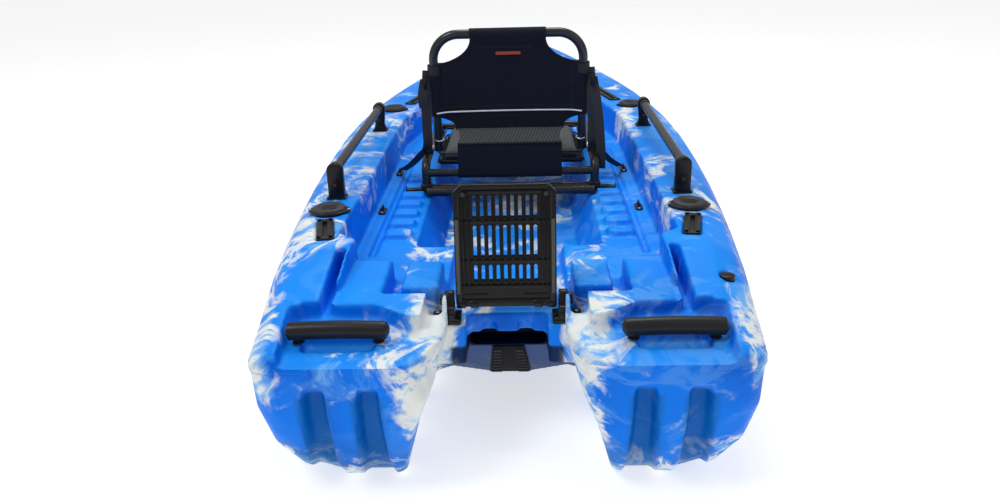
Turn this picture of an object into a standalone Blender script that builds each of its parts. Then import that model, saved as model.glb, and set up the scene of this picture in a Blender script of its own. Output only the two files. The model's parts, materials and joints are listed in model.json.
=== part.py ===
"""A twin-stern sit-on-top fishing kayak: one moulded hull with two stern pontoons, and its fittings.

Frame: +Y points to the bow, +X to starboard, +Z up. The origin is on the floor, at the middle
of the length. Places along the hull are given as distances forward of the stern end, and
at() turns them into Y.
"""

import math

import bmesh
import bpy
from mathutils import Matrix, Vector

# Driving dimensions, in metres.
LENGTH = 3.20
BEAM = 1.00
STERN_BEAM = 0.81
WIDEST_AT = 1.20          # forward of the stern end
SEAM_HEIGHT = 0.243       # widest line of the hull, where the mould parts
SEAM_LIP = 0.005          # the deck moulding stands out past the bottom moulding
GUNWALE_HEIGHT = 0.325
BOW_RISE = 0.007          # the deck's rise from the side decks to the bow tip
BOW_HEIGHT = GUNWALE_HEIGHT + BOW_RISE
STERN_CORNER = 0.034      # plan radius of each pontoon's outer stern corner
STERN_ROUND = 0.09        # how far the stern faces rake forward, down to the bottom
STERN_FACE_TOP = SEAM_HEIGHT - 0.022
STEM_HALF_WIDTH = 0.022
FLUTE_TOP = 0.212         # upright flutes in the stern faces
FLUTE_WIDTH = 0.034
BOTTOM_INNER = 0.185      # inner edge of each pontoon's flat bottom
BOTTOM_OUTER = 0.285
TUNNEL_X = 0.115
TUNNEL_RISE = 0.050
KEEL_HALF_WIDTH = 0.040
KEEL_RISE = 0.020
BOW_RISE_FROM = 2.20
STEM_FOOT = 0.20          # height of the keel line at the bow tip

NOTCH_HALF_WIDTH = 0.100  # gap between the pontoons, at the seam
NOTCH_DEPTH = 0.215       # from the stern end to the transom
TRANSOM_HALF_WIDTH = 0.072
TRANSOM_TOP = 0.243
TRANSOM_FOOT = 0.197      # lower edge of the transom, over a recess
RECESS_FORE_AT = 0.300
SHELF_HEIGHT = 0.236      # hinge shelves beside the transom
SHELF_DEPTH = 0.050
UNDERCUT_TOP = 0.160      # open water below the transom, ending in the keel's raked stern
UNDERCUT_AFT = 0.100
RAKE_TOP_AT = 0.249       # the rake's place at the undercut's top
RAKE_FOOT_AT = 0.421      # and at the foot's depth
RAKE_FOOT = -0.020

GUNWALE_INNER = 0.335     # inner edge of the side decks
WELL_AFT = 0.36           # aft end of the open well
WELL_SQUARE_TO = 1.35     # the well keeps its width up to here
WELL_FORE_GAP = 0.86      # from the well's forward end to the bow tip
LEDGE_HEIGHT = 0.243      # side ledges that carry the seat
FLOOR_HEIGHT = 0.165
FLOOR_HALF_WIDTH = 0.205
FLOOR_AFT = 0.50
CHANNEL_HALF_WIDTH = 0.112
CHANNEL_AFT = 0.27

BLOCK_TOP = 0.290         # raised blocks on the stern decks
TRAY_LIP = 0.250          # sunk decks under the stern handles, at the stern end
TRAY_RISE = 0.080         # their slope up towards the bow
TRAY_LENGTH = 0.1485
TOOTH_COUNT = 7
TOOTH_PITCH = 0.0675
TOOTH_HEIGHT = 0.013
TOOTH_INNER = 0.212
TOOTH_OUTER = 0.270
TEETH_AFT = 0.561

TRACK_GROOVE_X = 0.284
HANDLE_AT = 0.075
HANDLE_X = 0.270
HANDLE_LENGTH = 0.168
HANDLE_RADIUS = 0.012
HANDLE_FOOT = 0.018
HANDLE_GRIP = 0.281       # height of the stern grips
HANDLE_SCOOP = 0.120
BOW_HANDLE_GAP = 0.17     # from the bow tip

ROD_X = 0.372
ROD_AFT_AT = 0.520
ROD_FORE_AT = 1.490
ROD_SLEEVE_RADIUS = 0.029
ROD_SLEEVE_DEPTH = 0.045
ROD_FLANGE_RADIUS = 0.043
ROD_FLANGE_THICKNESS = 0.006
CAP_RADIUS = 0.034
CAP_THICKNESS = 0.006

INSERT_WIDTH = 0.032
INSERT_LENGTH = 0.115
INSERT_DEPTH = 0.012
INSERT_AFT_X = 0.3595
INSERT_AFT_AT = 0.417
INSERT_FORE_X = 0.3115
INSERT_FORE_AT = 1.680
INSERT_FORE_LENGTH = 0.220
INSERT_AFT_TURN = 12.0    # degrees, opening towards the bow
INSERT_FORE_TURN = 12.4   # degrees, closing towards the bow

PLUG_AT = 0.210
PLUG_RADIUS = 0.013

RAIL_X = 0.374
RAIL_RADIUS = 0.011
RAIL_RISE = 0.063          # the rails' middle above the side decks
RAIL_HEIGHT = GUNWALE_HEIGHT + RAIL_RISE
POST_AFT_AT = 0.613
POST_FORE_AT = 1.223
POST_WIDTH = 0.036
POST_LENGTH = 0.024

GATE_WIDTH = 0.174
GATE_HEIGHT = 0.2095
GATE_THICKNESS = 0.014
GATE_FLANGE = 0.026
GATE_LEAN = 9.0           # degrees forward of upright
GATE_PIVOT_AT = 0.196
GATE_PIVOT_HEIGHT = 0.265
SLOT_COLUMNS = 9
SLOT_PITCH = 0.0129
SLOT_WIDTH = 0.0060
SLOT_ROWS = ((0.043, 0.069), (0.0855, 0.1385), (0.154, 0.190))   # heights above the pivot
HINGE_PIN_RADIUS = 0.004

SEAT_X = 0.210            # side rails of the seat frame
SEAT_TUBE = 0.011
NOTCH_PLAY = 0.0065        # by which the teeth's gaps are wider than a crossbar
TOOTH_LENGTH = TOOTH_PITCH - 2 * SEAT_TUBE - NOTCH_PLAY
SEAT_NOTCH = 5             # the seat's legs stand forward of this tooth
SEAT_AFT_AT = TEETH_AFT + SEAT_NOTCH * TOOTH_PITCH - (TOOTH_PITCH - TOOTH_LENGTH) / 2
BRACE_SPACING = 0.030      # from the legs aft to the brace between the rows of teeth
SEAT_LENGTH = 0.426       # between the two crossbars
SEAT_FORE_AT = SEAT_AFT_AT + SEAT_LENGTH
SEAT_RAIL_HEIGHT = 0.322
SEAT_MID_BAR_HEIGHT = 0.296
CROSSBAR_HALF = 0.262
BACK_X = 0.182            # uprights of the folding back
BACK_PIVOT_AT = SEAT_AFT_AT + 0.076
BACK_PIVOT_HEIGHT = 0.338
BACK_HEIGHT = 0.290       # pivot to the middle of the top bar
BACK_LEAN = 6.0           # degrees aft of upright
BACK_CORNER = 0.062
CUSHION_THICKNESS = 0.034
CUSHION_TOP = 0.320
PANEL_THICKNESS = 0.012
STRAP_WIDTH = 0.024

HATCH_GAP = 0.62          # from the hatch's middle to the bow tip
HATCH_WIDTH = 0.190
HATCH_LENGTH = 0.270
HATCH_DEPTH = 0.120
HATCH_RIM = 0.020
LID_THICKNESS = 0.012

CLEAR = 0.0003            # between pieces that touch
FIT = 0.001               # around a piece set in a pocket

BLUE = (0.01, 0.20, 0.80)
BLACK = (0.015, 0.015, 0.017)
CHARCOAL = (0.05, 0.05, 0.055)
NAVY = (0.012, 0.015, 0.030)
GREY = (0.12, 0.125, 0.13)


def at(distance):
    """Y of a place this far forward of the stern end."""
    return distance - LENGTH / 2


# Hull lines.

def quarter_round(share):
    """0 at share 0, rising to 1 at share 1 along a quarter circle."""
    share = min(max(share, 0.0), 1.0)
    return math.sqrt(1 - (1 - share) ** 2)


def half_beam(distance):
    if distance < WIDEST_AT:
        share = (WIDEST_AT - distance) / WIDEST_AT
        half = BEAM / 2 - (BEAM - STERN_BEAM) / 2 * share ** 1.8
    else:
        share = (distance - WIDEST_AT) / (LENGTH - WIDEST_AT)
        half = max(BEAM / 2 * (1 - share ** 1.85), STEM_HALF_WIDTH)
    return half - STERN_CORNER * (1 - quarter_round(distance / STERN_CORNER))


def deck_height(distance):
    """Top of the side decks: rounded down at the stern, with a little sheer at the bow."""
    stern_lip = 0.030
    flat_from = 0.30
    lip_top = SEAM_HEIGHT + stern_lip
    if distance < stern_lip:
        return SEAM_HEIGHT + 0.012 + (stern_lip - 0.012) * quarter_round(distance / stern_lip)
    if distance < flat_from:
        share = (distance - stern_lip) / (flat_from - stern_lip)
        return lip_top + (GUNWALE_HEIGHT - lip_top) * share
    sheer_from = 0.55 * LENGTH
    share = max(0.0, (distance - sheer_from) / (LENGTH - sheer_from))
    return GUNWALE_HEIGHT + BOW_RISE * share ** 1.5


def tray_height(distance):
    """Floor of the sunk decks under the stern handles."""
    return TRAY_LIP + TRAY_RISE * distance


def bottom_height(distance):
    if distance < STERN_ROUND:
        return STERN_FACE_TOP * (1 - quarter_round(distance / STERN_ROUND))
    share = max(0.0, (distance - BOW_RISE_FROM) / (LENGTH - BOW_RISE_FROM))
    return STEM_FOOT * share ** 2.2


def hull_ring(distance):
    """One closed section of the outer hull, from the keel up the starboard side and round."""
    half = half_beam(distance)
    top = deck_height(distance)
    low = bottom_height(distance)
    narrow = min(1.0, half / 0.40)
    relief = (SEAM_HEIGHT - low) / SEAM_HEIGHT * min(1.0, max(0.0, (2.7 - distance) / 0.8))
    side = [
        (KEEL_HALF_WIDTH * narrow, low + KEEL_RISE * relief),
        (TUNNEL_X * narrow, low + TUNNEL_RISE * relief),
        (BOTTOM_INNER * narrow, low),
        (BOTTOM_OUTER * narrow, low),
        (half * 0.835, low + 0.09 * (SEAM_HEIGHT - low)),
        (half * 0.930, low + 0.27 * (SEAM_HEIGHT - low)),
        (half * 0.982, low + 0.58 * (SEAM_HEIGHT - low)),
        (half - SEAM_LIP, SEAM_HEIGHT - SEAM_LIP),
        (half, SEAM_HEIGHT),
        (half - 0.010 * narrow, SEAM_HEIGHT + 0.45 * (top - SEAM_HEIGHT)),
        (half - 0.032 * narrow, SEAM_HEIGHT + 0.83 * (top - SEAM_HEIGHT)),
        (half - 0.066 * narrow, top),
    ]
    ring = [(0.0, low + KEEL_RISE * relief)] + side + [(0.0, top)]
    ring += [(-x, z) for x, z in reversed(side)]
    return [Vector((x, at(distance), z)) for x, z in ring]


# Making solids.

def clear_scene():
    for item in list(bpy.data.objects):
        bpy.data.objects.remove(item, do_unlink=True)


def solid(name, mesh_builder):
    """A new object from a bmesh, with its faces pointing out."""
    bmesh.ops.recalc_face_normals(mesh_builder, faces=mesh_builder.faces)
    mesh = bpy.data.meshes.new(name)
    mesh_builder.to_mesh(mesh)
    mesh_builder.free()
    item = bpy.data.objects.new(name, mesh)
    bpy.context.scene.collection.objects.link(item)
    return item


def dress(item, colour, roughness=0.5, metallic=0.0, smooth=35.0):
    finish = bpy.data.materials.new(item.name + "_finish")
    finish.use_nodes = True
    shader = finish.node_tree.nodes["Principled BSDF"]
    shader.inputs["Base Color"].default_value = (*colour, 1.0)
    shader.inputs["Roughness"].default_value = roughness
    shader.inputs["Metallic"].default_value = metallic
    item.data.materials.clear()
    item.data.materials.append(finish)
    item.data.shade_smooth()
    item.data.set_sharp_from_angle(angle=math.radians(smooth))
    return item


def skin(rings, closed_ends=True):
    """A bmesh through rings of the same number of points, with flat ends."""
    built = bmesh.new()
    rows = [[built.verts.new(point) for point in ring] for ring in rings]
    count = len(rings[0])
    for lower, upper in zip(rows, rows[1:]):
        for i in range(count):
            j = (i + 1) % count
            built.faces.new((lower[i], lower[j], upper[j], upper[i]))
    if closed_ends:
        built.faces.new(list(reversed(rows[0])))
        built.faces.new(rows[-1])
    return built


def prism(outline, axis, low, high):
    """An outline of (a, b) pairs carried along an axis: x takes (y, z), y takes (x, z), z takes (x, y)."""
    def place(a, b, along):
        if axis == "x":
            return Vector((along, a, b))
        if axis == "y":
            return Vector((a, along, b))
        return Vector((a, b, along))

    return skin([[place(a, b, along) for a, b in outline] for along in (low, high)])


def block(x_span, y_span, z_span, bevel=0.0, segments=1):
    """A box between three pairs of limits, with its edges bevelled."""
    (x0, x1), (y0, y1), (z0, z1) = x_span, y_span, z_span
    built = prism([(x0, y0), (x1, y0), (x1, y1), (x0, y1)], "z", z0, z1)
    if bevel:
        bmesh.ops.bevel(
            built, geom=built.edges[:], offset=bevel, segments=segments, profile=0.5, affect="EDGES"
        )
    return built


def well(bottom, top, low, high):
    """A sloping-sided prism between two plan outlines of (x, distance) pairs."""
    return skin([
        [Vector((x, at(d), low)) for x, d in bottom],
        [Vector((x, at(d), high)) for x, d in top],
    ])


def disc(radius, low, high, centre, sides=20, squash=1.0):
    x0, y0 = centre
    turn = [2 * math.pi * i / sides for i in range(sides)]
    outline = [(x0 + radius * math.cos(a), y0 + radius * squash * math.sin(a)) for a in turn]
    return prism(outline, "z", low, high)


def tube(path, radius, sides=10):
    """A round bar along a list of points, with flat ends."""
    points = [Vector(point) for point in path]
    first = (points[1] - points[0]).normalized()
    guide = Vector((0, 0, 1)) if abs(first.z) < 0.9 else Vector((0, 1, 0))
    normal = first.cross(guide).normalized()
    rings = []
    for i, point in enumerate(points):
        before = points[max(i - 1, 0)]
        after = points[min(i + 1, len(points) - 1)]
        tangent = (after - before).normalized()
        normal = (normal - tangent * normal.dot(tangent)).normalized()
        other = tangent.cross(normal)
        if 0 < i < len(points) - 1:
            inward = (point - before).normalized()
            stretch = 1 / max(0.6, math.cos(inward.angle(after - point) / 2))
        else:
            stretch = 1.0
        bend = (after - point).cross(point - before)
        ring = []
        for k in range(sides):
            angle = 2 * math.pi * (k + 0.5) / sides
            offset = (normal * math.cos(angle) + other * math.sin(angle)) * radius
            if stretch > 1.0 and bend.length > 1e-9:
                across = tangent.cross(bend).normalized()
                offset += across * offset.dot(across) * (stretch - 1)
            ring.append(point + offset)
        rings.append(ring)
    return skin(rings)


def rounded_path(corners, radius, steps=4):
    """The corners of a path, with each inner corner turned into an arc."""
    points = [Vector(corners[0])]
    for before, corner, after in zip(corners, corners[1:], corners[2:]):
        corner = Vector(corner)
        back = (Vector(before) - corner).normalized()
        ahead = (Vector(after) - corner).normalized()
        half_angle = back.angle(ahead) / 2
        reach = radius / math.tan(half_angle)
        centre = corner + (back + ahead).normalized() * radius / math.sin(half_angle)
        start = corner + back * reach - centre
        end = corner + ahead * reach - centre
        sweep = start.angle(end)
        axis = start.cross(end).normalized()
        for i in range(steps + 1):
            points.append(centre + Matrix.Rotation(sweep * i / steps, 3, axis) @ start)
    points.append(Vector(corners[-1]))
    return points


def combine(target, tool_mesh, operation):
    """Cuts a shape out of the target, or joins it on."""
    tool = solid("tool", tool_mesh)
    modifier = target.modifiers.new("combine", "BOOLEAN")
    modifier.operation = operation
    modifier.solver = "EXACT"
    modifier.object = tool
    graph = bpy.context.evaluated_depsgraph_get()
    result = bpy.data.meshes.new_from_object(target.evaluated_get(graph))
    target.modifiers.clear()
    spare = target.data
    target.data = result
    bpy.data.meshes.remove(spare)
    bpy.data.objects.remove(tool, do_unlink=True)


def cut(target, tool_mesh):
    combine(target, tool_mesh, "DIFFERENCE")


def join(target, tool_mesh):
    combine(target, tool_mesh, "UNION")


def mirrored(outline):
    """A half outline from the centre line outwards, made whole."""
    return outline + [(-x, d) for x, d in reversed(outline) if abs(x) > 1e-6]


def move_origin(item, place):
    """Sets an object's origin without moving its shape."""
    item.data.transform(Matrix.Translation(-Vector(place)))
    item.location = Vector(place)


# The hull.

def hull_blank():
    """The closed outer shape, before anything is cut."""
    stern = [0.0, 0.008, 0.020, 0.040, 0.065, STERN_ROUND]
    body = [0.17, 0.30, 0.45, 0.62, 0.80, 1.00, WIDEST_AT, 1.40, 1.60]
    left = LENGTH - body[-1]
    bow = [body[-1] + left * share for share in (
        0.11, 0.22, 0.33, 0.44, 0.55, 0.65, 0.74, 0.82, 0.89, 0.945, 0.98, 1.0)]
    return solid("hull", skin([hull_ring(d) for d in stern + body + bow]))


def cut_notch(hull):
    """The gap between the pontoons, flared towards the stern and wider below."""
    w = NOTCH_HALF_WIDTH

    def section(d, flare, upper_flare):
        half = [(w + 0.082 + flare, -0.02), (w + 0.058 + flare, 0.070), (w + 0.044 + flare, 0.120),
                (w + 0.018 + flare, 0.185), (w + flare + upper_flare, SEAM_HEIGHT),
                (w + flare + 1.5 * upper_flare, 0.60)]
        return [Vector((x, at(d), z)) for x, z in half + [(-x, z) for x, z in reversed(half)]]

    shelf_from = NOTCH_DEPTH - SHELF_DEPTH
    cut(hull, skin([section(-0.030, 0.060, 0.080), section(0.0, 0.020, 0.050),
                    section(0.012, 0.010, 0.040), section(0.035, 0.004, 0.025),
                    section(0.075, 0.0, 0.008), section(0.110, 0.0, 0.0),
                    section(shelf_from, 0.0, 0.0)]))
    t = TRANSOM_HALF_WIDTH
    cut(hull, block((-t, t), (at(shelf_from - 0.01), at(NOTCH_DEPTH)), (-0.02, 0.60)))
    wide = NOTCH_HALF_WIDTH + 0.034
    cut(hull, block((-wide, wide), (at(shelf_from - 0.002), at(NOTCH_DEPTH + 0.012)),
                    (SHELF_HEIGHT, 0.60)))
    below = [(w + 0.094, UNDERCUT_AFT), (w + 0.065, RAKE_FOOT_AT)]
    above = [(w + 0.029, UNDERCUT_AFT), (w + 0.021, RAKE_TOP_AT)]
    cut(hull, well(mirrored(below), mirrored(above), RAKE_FOOT, UNDERCUT_TOP))
    cut(hull, block((-t + 0.002, t - 0.002), (at(NOTCH_DEPTH - 0.020), at(RECESS_FORE_AT)),
                    (UNDERCUT_TOP - 0.010, TRANSOM_FOOT)))
    for side in (-1, 1):
        x = sorted((side * 0.020, side * 0.044))
        cut(hull, block(x, (at(NOTCH_DEPTH - 0.02), at(NOTCH_DEPTH + 0.012)),
                        (TRANSOM_FOOT - 0.005, TRANSOM_FOOT + 0.024)))


def cut_wells(hull):
    """The open well: side ledges, the sunk floor and the channel behind the seat."""
    fore = LENGTH - WELL_FORE_GAP
    g = GUNWALE_INNER
    top = [(0.0, WELL_AFT - 0.02), (g - 0.05, WELL_AFT - 0.02), (g, WELL_AFT + 0.03),
           (g, WELL_SQUARE_TO), (0.262, fore - 0.59), (0.180, fore - 0.24), (0.110, fore),
           (0.0, fore + 0.02)]
    bottom = [(0.0, WELL_AFT), (g - 0.07, WELL_AFT), (g - 0.014, WELL_AFT + 0.05),
              (g - 0.014, WELL_SQUARE_TO), (0.248, fore - 0.60), (0.166, fore - 0.25),
              (0.100, fore - 0.03), (0.0, fore - 0.01)]
    cut(hull, well(mirrored(bottom), mirrored(top), LEDGE_HEIGHT, GUNWALE_HEIGHT + 0.1))

    f = FLOOR_HALF_WIDTH
    slope_to = FLOOR_AFT + 0.16
    top = [(0.0, FLOOR_AFT), (f, FLOOR_AFT), (f, WELL_SQUARE_TO + 0.10), (0.190, fore - 0.50),
           (0.135, fore - 0.22), (0.070, fore - 0.05), (0.0, fore - 0.05)]
    bottom = [(0.0, slope_to), (f - 0.050, slope_to), (f - 0.050, WELL_SQUARE_TO + 0.08),
              (0.160, fore - 0.52), (0.112, fore - 0.26), (0.050, fore - 0.12), (0.0, fore - 0.12)]
    cut(hull, well(mirrored(bottom), mirrored(top), FLOOR_HEIGHT, LEDGE_HEIGHT + 0.01))
    slope = [(at(CHANNEL_AFT), TRANSOM_TOP - 0.004), (at(slope_to), FLOOR_HEIGHT + 0.001),
             (at(slope_to), 0.5), (at(CHANNEL_AFT), 0.5)]
    cut(hull, prism(slope, "x", -CHANNEL_HALF_WIDTH, CHANNEL_HALF_WIDTH))


def shape_stern_decks(hull):
    """Sunk stern decks, open to the stern: on each an L-shaped block and a square one."""
    inner = NOTCH_HALF_WIDTH + 0.018
    outer = 0.2895
    cut(hull, block((-outer, outer), (at(0.190), at(WELL_AFT + 0.017)), (TRANSOM_TOP, 0.60)))
    for side in (-1, 1):
        def span(a, b):
            return sorted((side * a, side * b))

        tray = [(at(-0.03), tray_height(-0.03)), (at(TRAY_LENGTH), tray_height(TRAY_LENGTH)),
                (at(TRAY_LENGTH), 0.5), (at(-0.03), 0.5)]
        cut(hull, prism(tray, "x", *span(NOTCH_HALF_WIDTH - 0.02, 0.346)))
        shoulder = [(side * 0.345, 0.240), (side * 0.345, 0.5), (side * 0.462, 0.5)]
        cut(hull, prism(shoulder, "y", at(-0.03), at(TRAY_LENGTH - 0.010)))
        cut(hull, block(span(0.108, 0.2965), (at(TRAY_LENGTH - 0.001), at(0.205)),
                        (tray_height(TRAY_LENGTH) + 0.0005, 0.60)))
        join(hull, block(span(0.215, 0.287), (at(TRAY_LENGTH - 0.0005), at(0.345)),
                         (0.20, BLOCK_TOP), 0.006))
        join(hull, block(span(inner, 0.187), (at(0.212), at(0.335)), (0.20, BLOCK_TOP), 0.006))
        foot = [(side * 0.218, 0.1465), (side * 0.160, 0.104), (side * 0.139, 0.108),
                (side * 0.139, 0.1935), (side * 0.2185, 0.1935)]
        join(hull, well(foot, foot, 0.198, BLOCK_TOP - 0.001))
        cut(hull, block(span(0.2975, 0.314), (at(TRAY_LENGTH), at(WELL_AFT - 0.040)),
                        (tray_height(TRAY_LENGTH) + 0.003, 0.60)))


def add_teeth(hull):
    """Rows of teeth on the ledges, whose gaps take the seat's crossbar."""
    for side in (-1, 1):
        for i in range(TOOTH_COUNT):
            aft = TEETH_AFT + i * TOOTH_PITCH
            x = sorted((side * TOOTH_INNER, side * TOOTH_OUTER))
            join(hull, block(x, (at(aft), at(aft + TOOTH_LENGTH)),
                             (LEDGE_HEIGHT - 0.02, LEDGE_HEIGHT + TOOTH_HEIGHT), 0.004))
        groove = sorted((side * (TRACK_GROOVE_X - 0.008), side * (TRACK_GROOVE_X + 0.008)))
        cut(hull, block(groove, (at(0.47), at(WELL_SQUARE_TO - 0.05)),
                        (LEDGE_HEIGHT - 0.010, LEDGE_HEIGHT + 0.05)))


def cut_handle_scoops(hull):
    """Finger room under the grips of the carry handles."""
    half = HANDLE_SCOOP / 2
    for side in (-1, 1):
        x = (side * HANDLE_X - half, side * HANDLE_X + half)
        cut(hull, block(x, (at(HANDLE_AT - 0.024), at(HANDLE_AT + 0.024)),
                        (TRAY_LIP - 0.010, 0.40), 0.010, 2))
    bow = LENGTH - BOW_HANDLE_GAP
    cut(hull, block((-0.050, 0.050), (at(bow - 0.040), at(bow + 0.040)), (BOW_HEIGHT - 0.045, 0.50),
                    0.010, 2))


def cut_flutes(hull):
    """Two upright flutes in each pontoon's stern face."""
    depth = 0.016
    end = STERN_FACE_TOP
    for side in (-1, 1):
        for x in (0.218, 0.302):
            face = []
            for i in range(7):
                height = 0.020 + (FLUTE_TOP - 0.020) * i / 6
                share = 1 - math.sqrt(1 - (1 - height / end) ** 2)
                inset = depth * min(1.0, i / 2.0) - 0.001
                face.append((at(STERN_ROUND * share + inset), height))
            outline = [(at(-0.05), face[0][1])] + face + [(at(-0.05), face[-1][1])]
            cut(hull, prism(outline, "x", *sorted((side * (x - FLUTE_WIDTH / 2), side * (x + FLUTE_WIDTH / 2)))))


def insert_shape(length, grow, low, high):
    w, l = INSERT_WIDTH / 2 + grow, length / 2 + grow
    return block((-w, w), (-l, l), (low, high))


def insert_places():
    """Name, matrix and length of each accessory track set in the side decks."""
    for side, label in ((-1, "left"), (1, "right")):
        aft = Matrix.Translation((side * INSERT_AFT_X, at(INSERT_AFT_AT), 0))
        aft_turn = Matrix.Rotation(math.radians(-side * INSERT_AFT_TURN), 4, "Z")
        yield "gear_track_aft_" + label, aft @ aft_turn, INSERT_LENGTH
        fore = Matrix.Translation((side * INSERT_FORE_X, at(INSERT_FORE_AT), 0))
        fore_turn = Matrix.Rotation(math.radians(side * INSERT_FORE_TURN), 4, "Z")
        yield "gear_track_fore_" + label, fore @ fore_turn, INSERT_FORE_LENGTH


def cut_deck_pockets(hull):
    """Pockets for the accessory tracks, the rod-holder sleeves and the bow hatch."""
    for _, frame, length in insert_places():
        pocket = insert_shape(length, FIT, GUNWALE_HEIGHT - INSERT_DEPTH - CLEAR, 0.5)
        pocket.transform(frame)
        cut(hull, pocket)
    for side in (-1, 1):
        for d in (ROD_AFT_AT, ROD_FORE_AT):
            cut(hull, disc(ROD_SLEEVE_RADIUS + FIT, GUNWALE_HEIGHT - ROD_SLEEVE_DEPTH - CLEAR, 0.5,
                           (side * ROD_X, at(d))))
    plug, plug_floor = plug_seat()
    cut(hull, disc(PLUG_RADIUS + FIT, plug_floor, 0.5, plug, 16))
    middle = LENGTH - HATCH_GAP
    w, l = HATCH_WIDTH / 2, HATCH_LENGTH / 2
    cut(hull, block((-w, w), (at(middle - l), at(middle + l)),
                    (hatch_deck() - HATCH_DEPTH, 0.5), 0.015, 2))
    seat = HATCH_RIM + 0.004
    cut(hull, block((-w - seat, w + seat), (at(middle - l) - seat, at(middle + l) + seat),
                    (hatch_deck() - 0.004, 0.5)))


def plug_seat():
    """Centre and height of the drain plug's pocket."""
    return (half_beam(PLUG_AT) - 0.052, at(PLUG_AT)), deck_height(PLUG_AT) - 0.014


def hatch_deck():
    """Height of the flat that the hatch rim sits on."""
    return deck_height(LENGTH - HATCH_GAP - HATCH_LENGTH / 2 - HATCH_RIM) - 0.001


def make_hull():
    hull = hull_blank()
    cut_notch(hull)
    cut_wells(hull)
    shape_stern_decks(hull)
    add_teeth(hull)
    cut_handle_scoops(hull)
    cut_flutes(hull)
    cut_deck_pockets(hull)
    dress(hull, BLUE, 0.45)


# Deck fittings.

def make_handle(name, x, distance, length, deck, grip):
    """A moulded carry handle: a bar whose middle is at the grip height, on two feet on the deck."""
    half = length / 2
    y = at(distance)
    foot = deck + CLEAR
    handle = solid(name, tube([(x - half, y, grip - 0.002), (x - half * 0.7, y, grip),
                               (x, y, grip + 0.002), (x + half * 0.7, y, grip),
                               (x + half, y, grip - 0.002)], HANDLE_RADIUS, 12))
    for side in (-1, 1):
        outer = x + side * (half - 0.003)
        inner = x + side * (half - 0.021)
        join(handle, block(sorted((inner, outer)), (y - HANDLE_FOOT / 2, y + HANDLE_FOOT / 2),
                           (foot, grip)))
    dress(handle, BLACK, 0.45)


def make_handles():
    for side, label in ((-1, "left"), (1, "right")):
        make_handle("stern_handle_" + label, side * HANDLE_X, HANDLE_AT, HANDLE_LENGTH,
                    tray_height(HANDLE_AT + HANDLE_FOOT / 2), HANDLE_GRIP)
    bow = LENGTH - BOW_HANDLE_GAP
    deck = deck_height(bow + 0.013)
    make_handle("bow_handle", 0.0, bow, 0.150, deck, deck + HANDLE_RADIUS + 0.005)


def make_grab_rails():
    """Straight rails along the side decks, each between two posts."""
    base = GUNWALE_HEIGHT + CLEAR
    half = POST_LENGTH / 2
    for side, label in ((-1, "left"), (1, "right")):
        for d, place, waist in ((POST_AFT_AT, "aft", 1.0), (POST_FORE_AT, "fore", 0.62)):
            x = side * RAIL_X
            w = POST_WIDTH / 2
            crown = RAIL_HEIGHT
            arc = [math.pi * i / 8 for i in range(9)]
            outline = [(x + w, base), (x + w * waist, base + 0.022)]
            outline += [(x + 0.017 * math.cos(a), crown + 0.017 * math.sin(a)) for a in arc]
            outline += [(x - w * waist, base + 0.022), (x - w, base)]
            post = solid("rail_post_{}_{}".format(place, label),
                         prism(outline, "y", at(d) - half, at(d) + half))
            dress(post, BLACK, 0.45)
        rail = solid("grab_rail_" + label, tube(
            [(side * RAIL_X, at(POST_AFT_AT) + half + CLEAR, RAIL_HEIGHT),
             (side * RAIL_X, at(POST_FORE_AT) - half - CLEAR, RAIL_HEIGHT)], RAIL_RADIUS, 14))
        dress(rail, BLACK, 0.35, 0.3)


def make_rod_holders():
    """Flush rod holders: a sleeve in the side deck, a flange on it and a rubber cap."""
    for side, label in ((-1, "left"), (1, "right")):
        for d, place in ((ROD_AFT_AT, "aft"), (ROD_FORE_AT, "fore")):
            centre = (side * ROD_X, at(d))
            deck = GUNWALE_HEIGHT + CLEAR
            top = deck + ROD_FLANGE_THICKNESS
            holder = solid("rod_holder_{}_{}".format(place, label),
                           disc(ROD_FLANGE_RADIUS, deck, top, centre, 20, 0.88))
            join(holder, disc(ROD_SLEEVE_RADIUS, GUNWALE_HEIGHT - ROD_SLEEVE_DEPTH, deck + 0.002,
                              centre))
            dress(holder, CHARCOAL, 0.5)
            cap = solid("rod_cap_{}_{}".format(place, label),
                        disc(CAP_RADIUS, top + CLEAR, top + CLEAR + CAP_THICKNESS, centre, 20, 0.9))
            dress(cap, BLACK, 0.6)


def make_gear_tracks():
    for name, frame, length in insert_places():
        track = solid(name, insert_shape(length, 0.0, GUNWALE_HEIGHT - INSERT_DEPTH,
                                         GUNWALE_HEIGHT + 0.002))
        cut(track, block((-0.005, 0.005), (-length / 2 + 0.008, length / 2 - 0.008),
                         (GUNWALE_HEIGHT - 0.0015, 0.5)))
        track.data.transform(frame)
        dress(track, BLACK, 0.4)


def make_hatch():
    """The bow hatch: a rim let into the deck and a lid hinged at its forward edge."""
    middle = at(LENGTH - HATCH_GAP)
    w, l = HATCH_WIDTH / 2, HATCH_LENGTH / 2
    seat = hatch_deck() - 0.004 + CLEAR
    outer = HATCH_RIM + 0.002
    top = seat + 0.014
    rim = solid("bow_hatch_rim", block((-w - outer, w + outer), (middle - l - outer, middle + l + outer),
                                       (seat, top), 0.003))
    cut(rim, block((-w + 0.004, w - 0.004), (middle - l + 0.004, middle + l - 0.004), (0.0, 1.0)))
    dress(rim, BLACK, 0.5)
    hinge_y = middle + l + HATCH_RIM - 0.004
    low = top + 0.002
    lid = solid("bow_hatch_lid", block((-w - 0.012, w + 0.012), (middle - l - 0.012, hinge_y),
                                       (low, low + LID_THICKNESS), 0.004, 2))
    move_origin(lid, (0.0, hinge_y, low + LID_THICKNESS / 2))
    dress(lid, CHARCOAL, 0.5)


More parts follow.
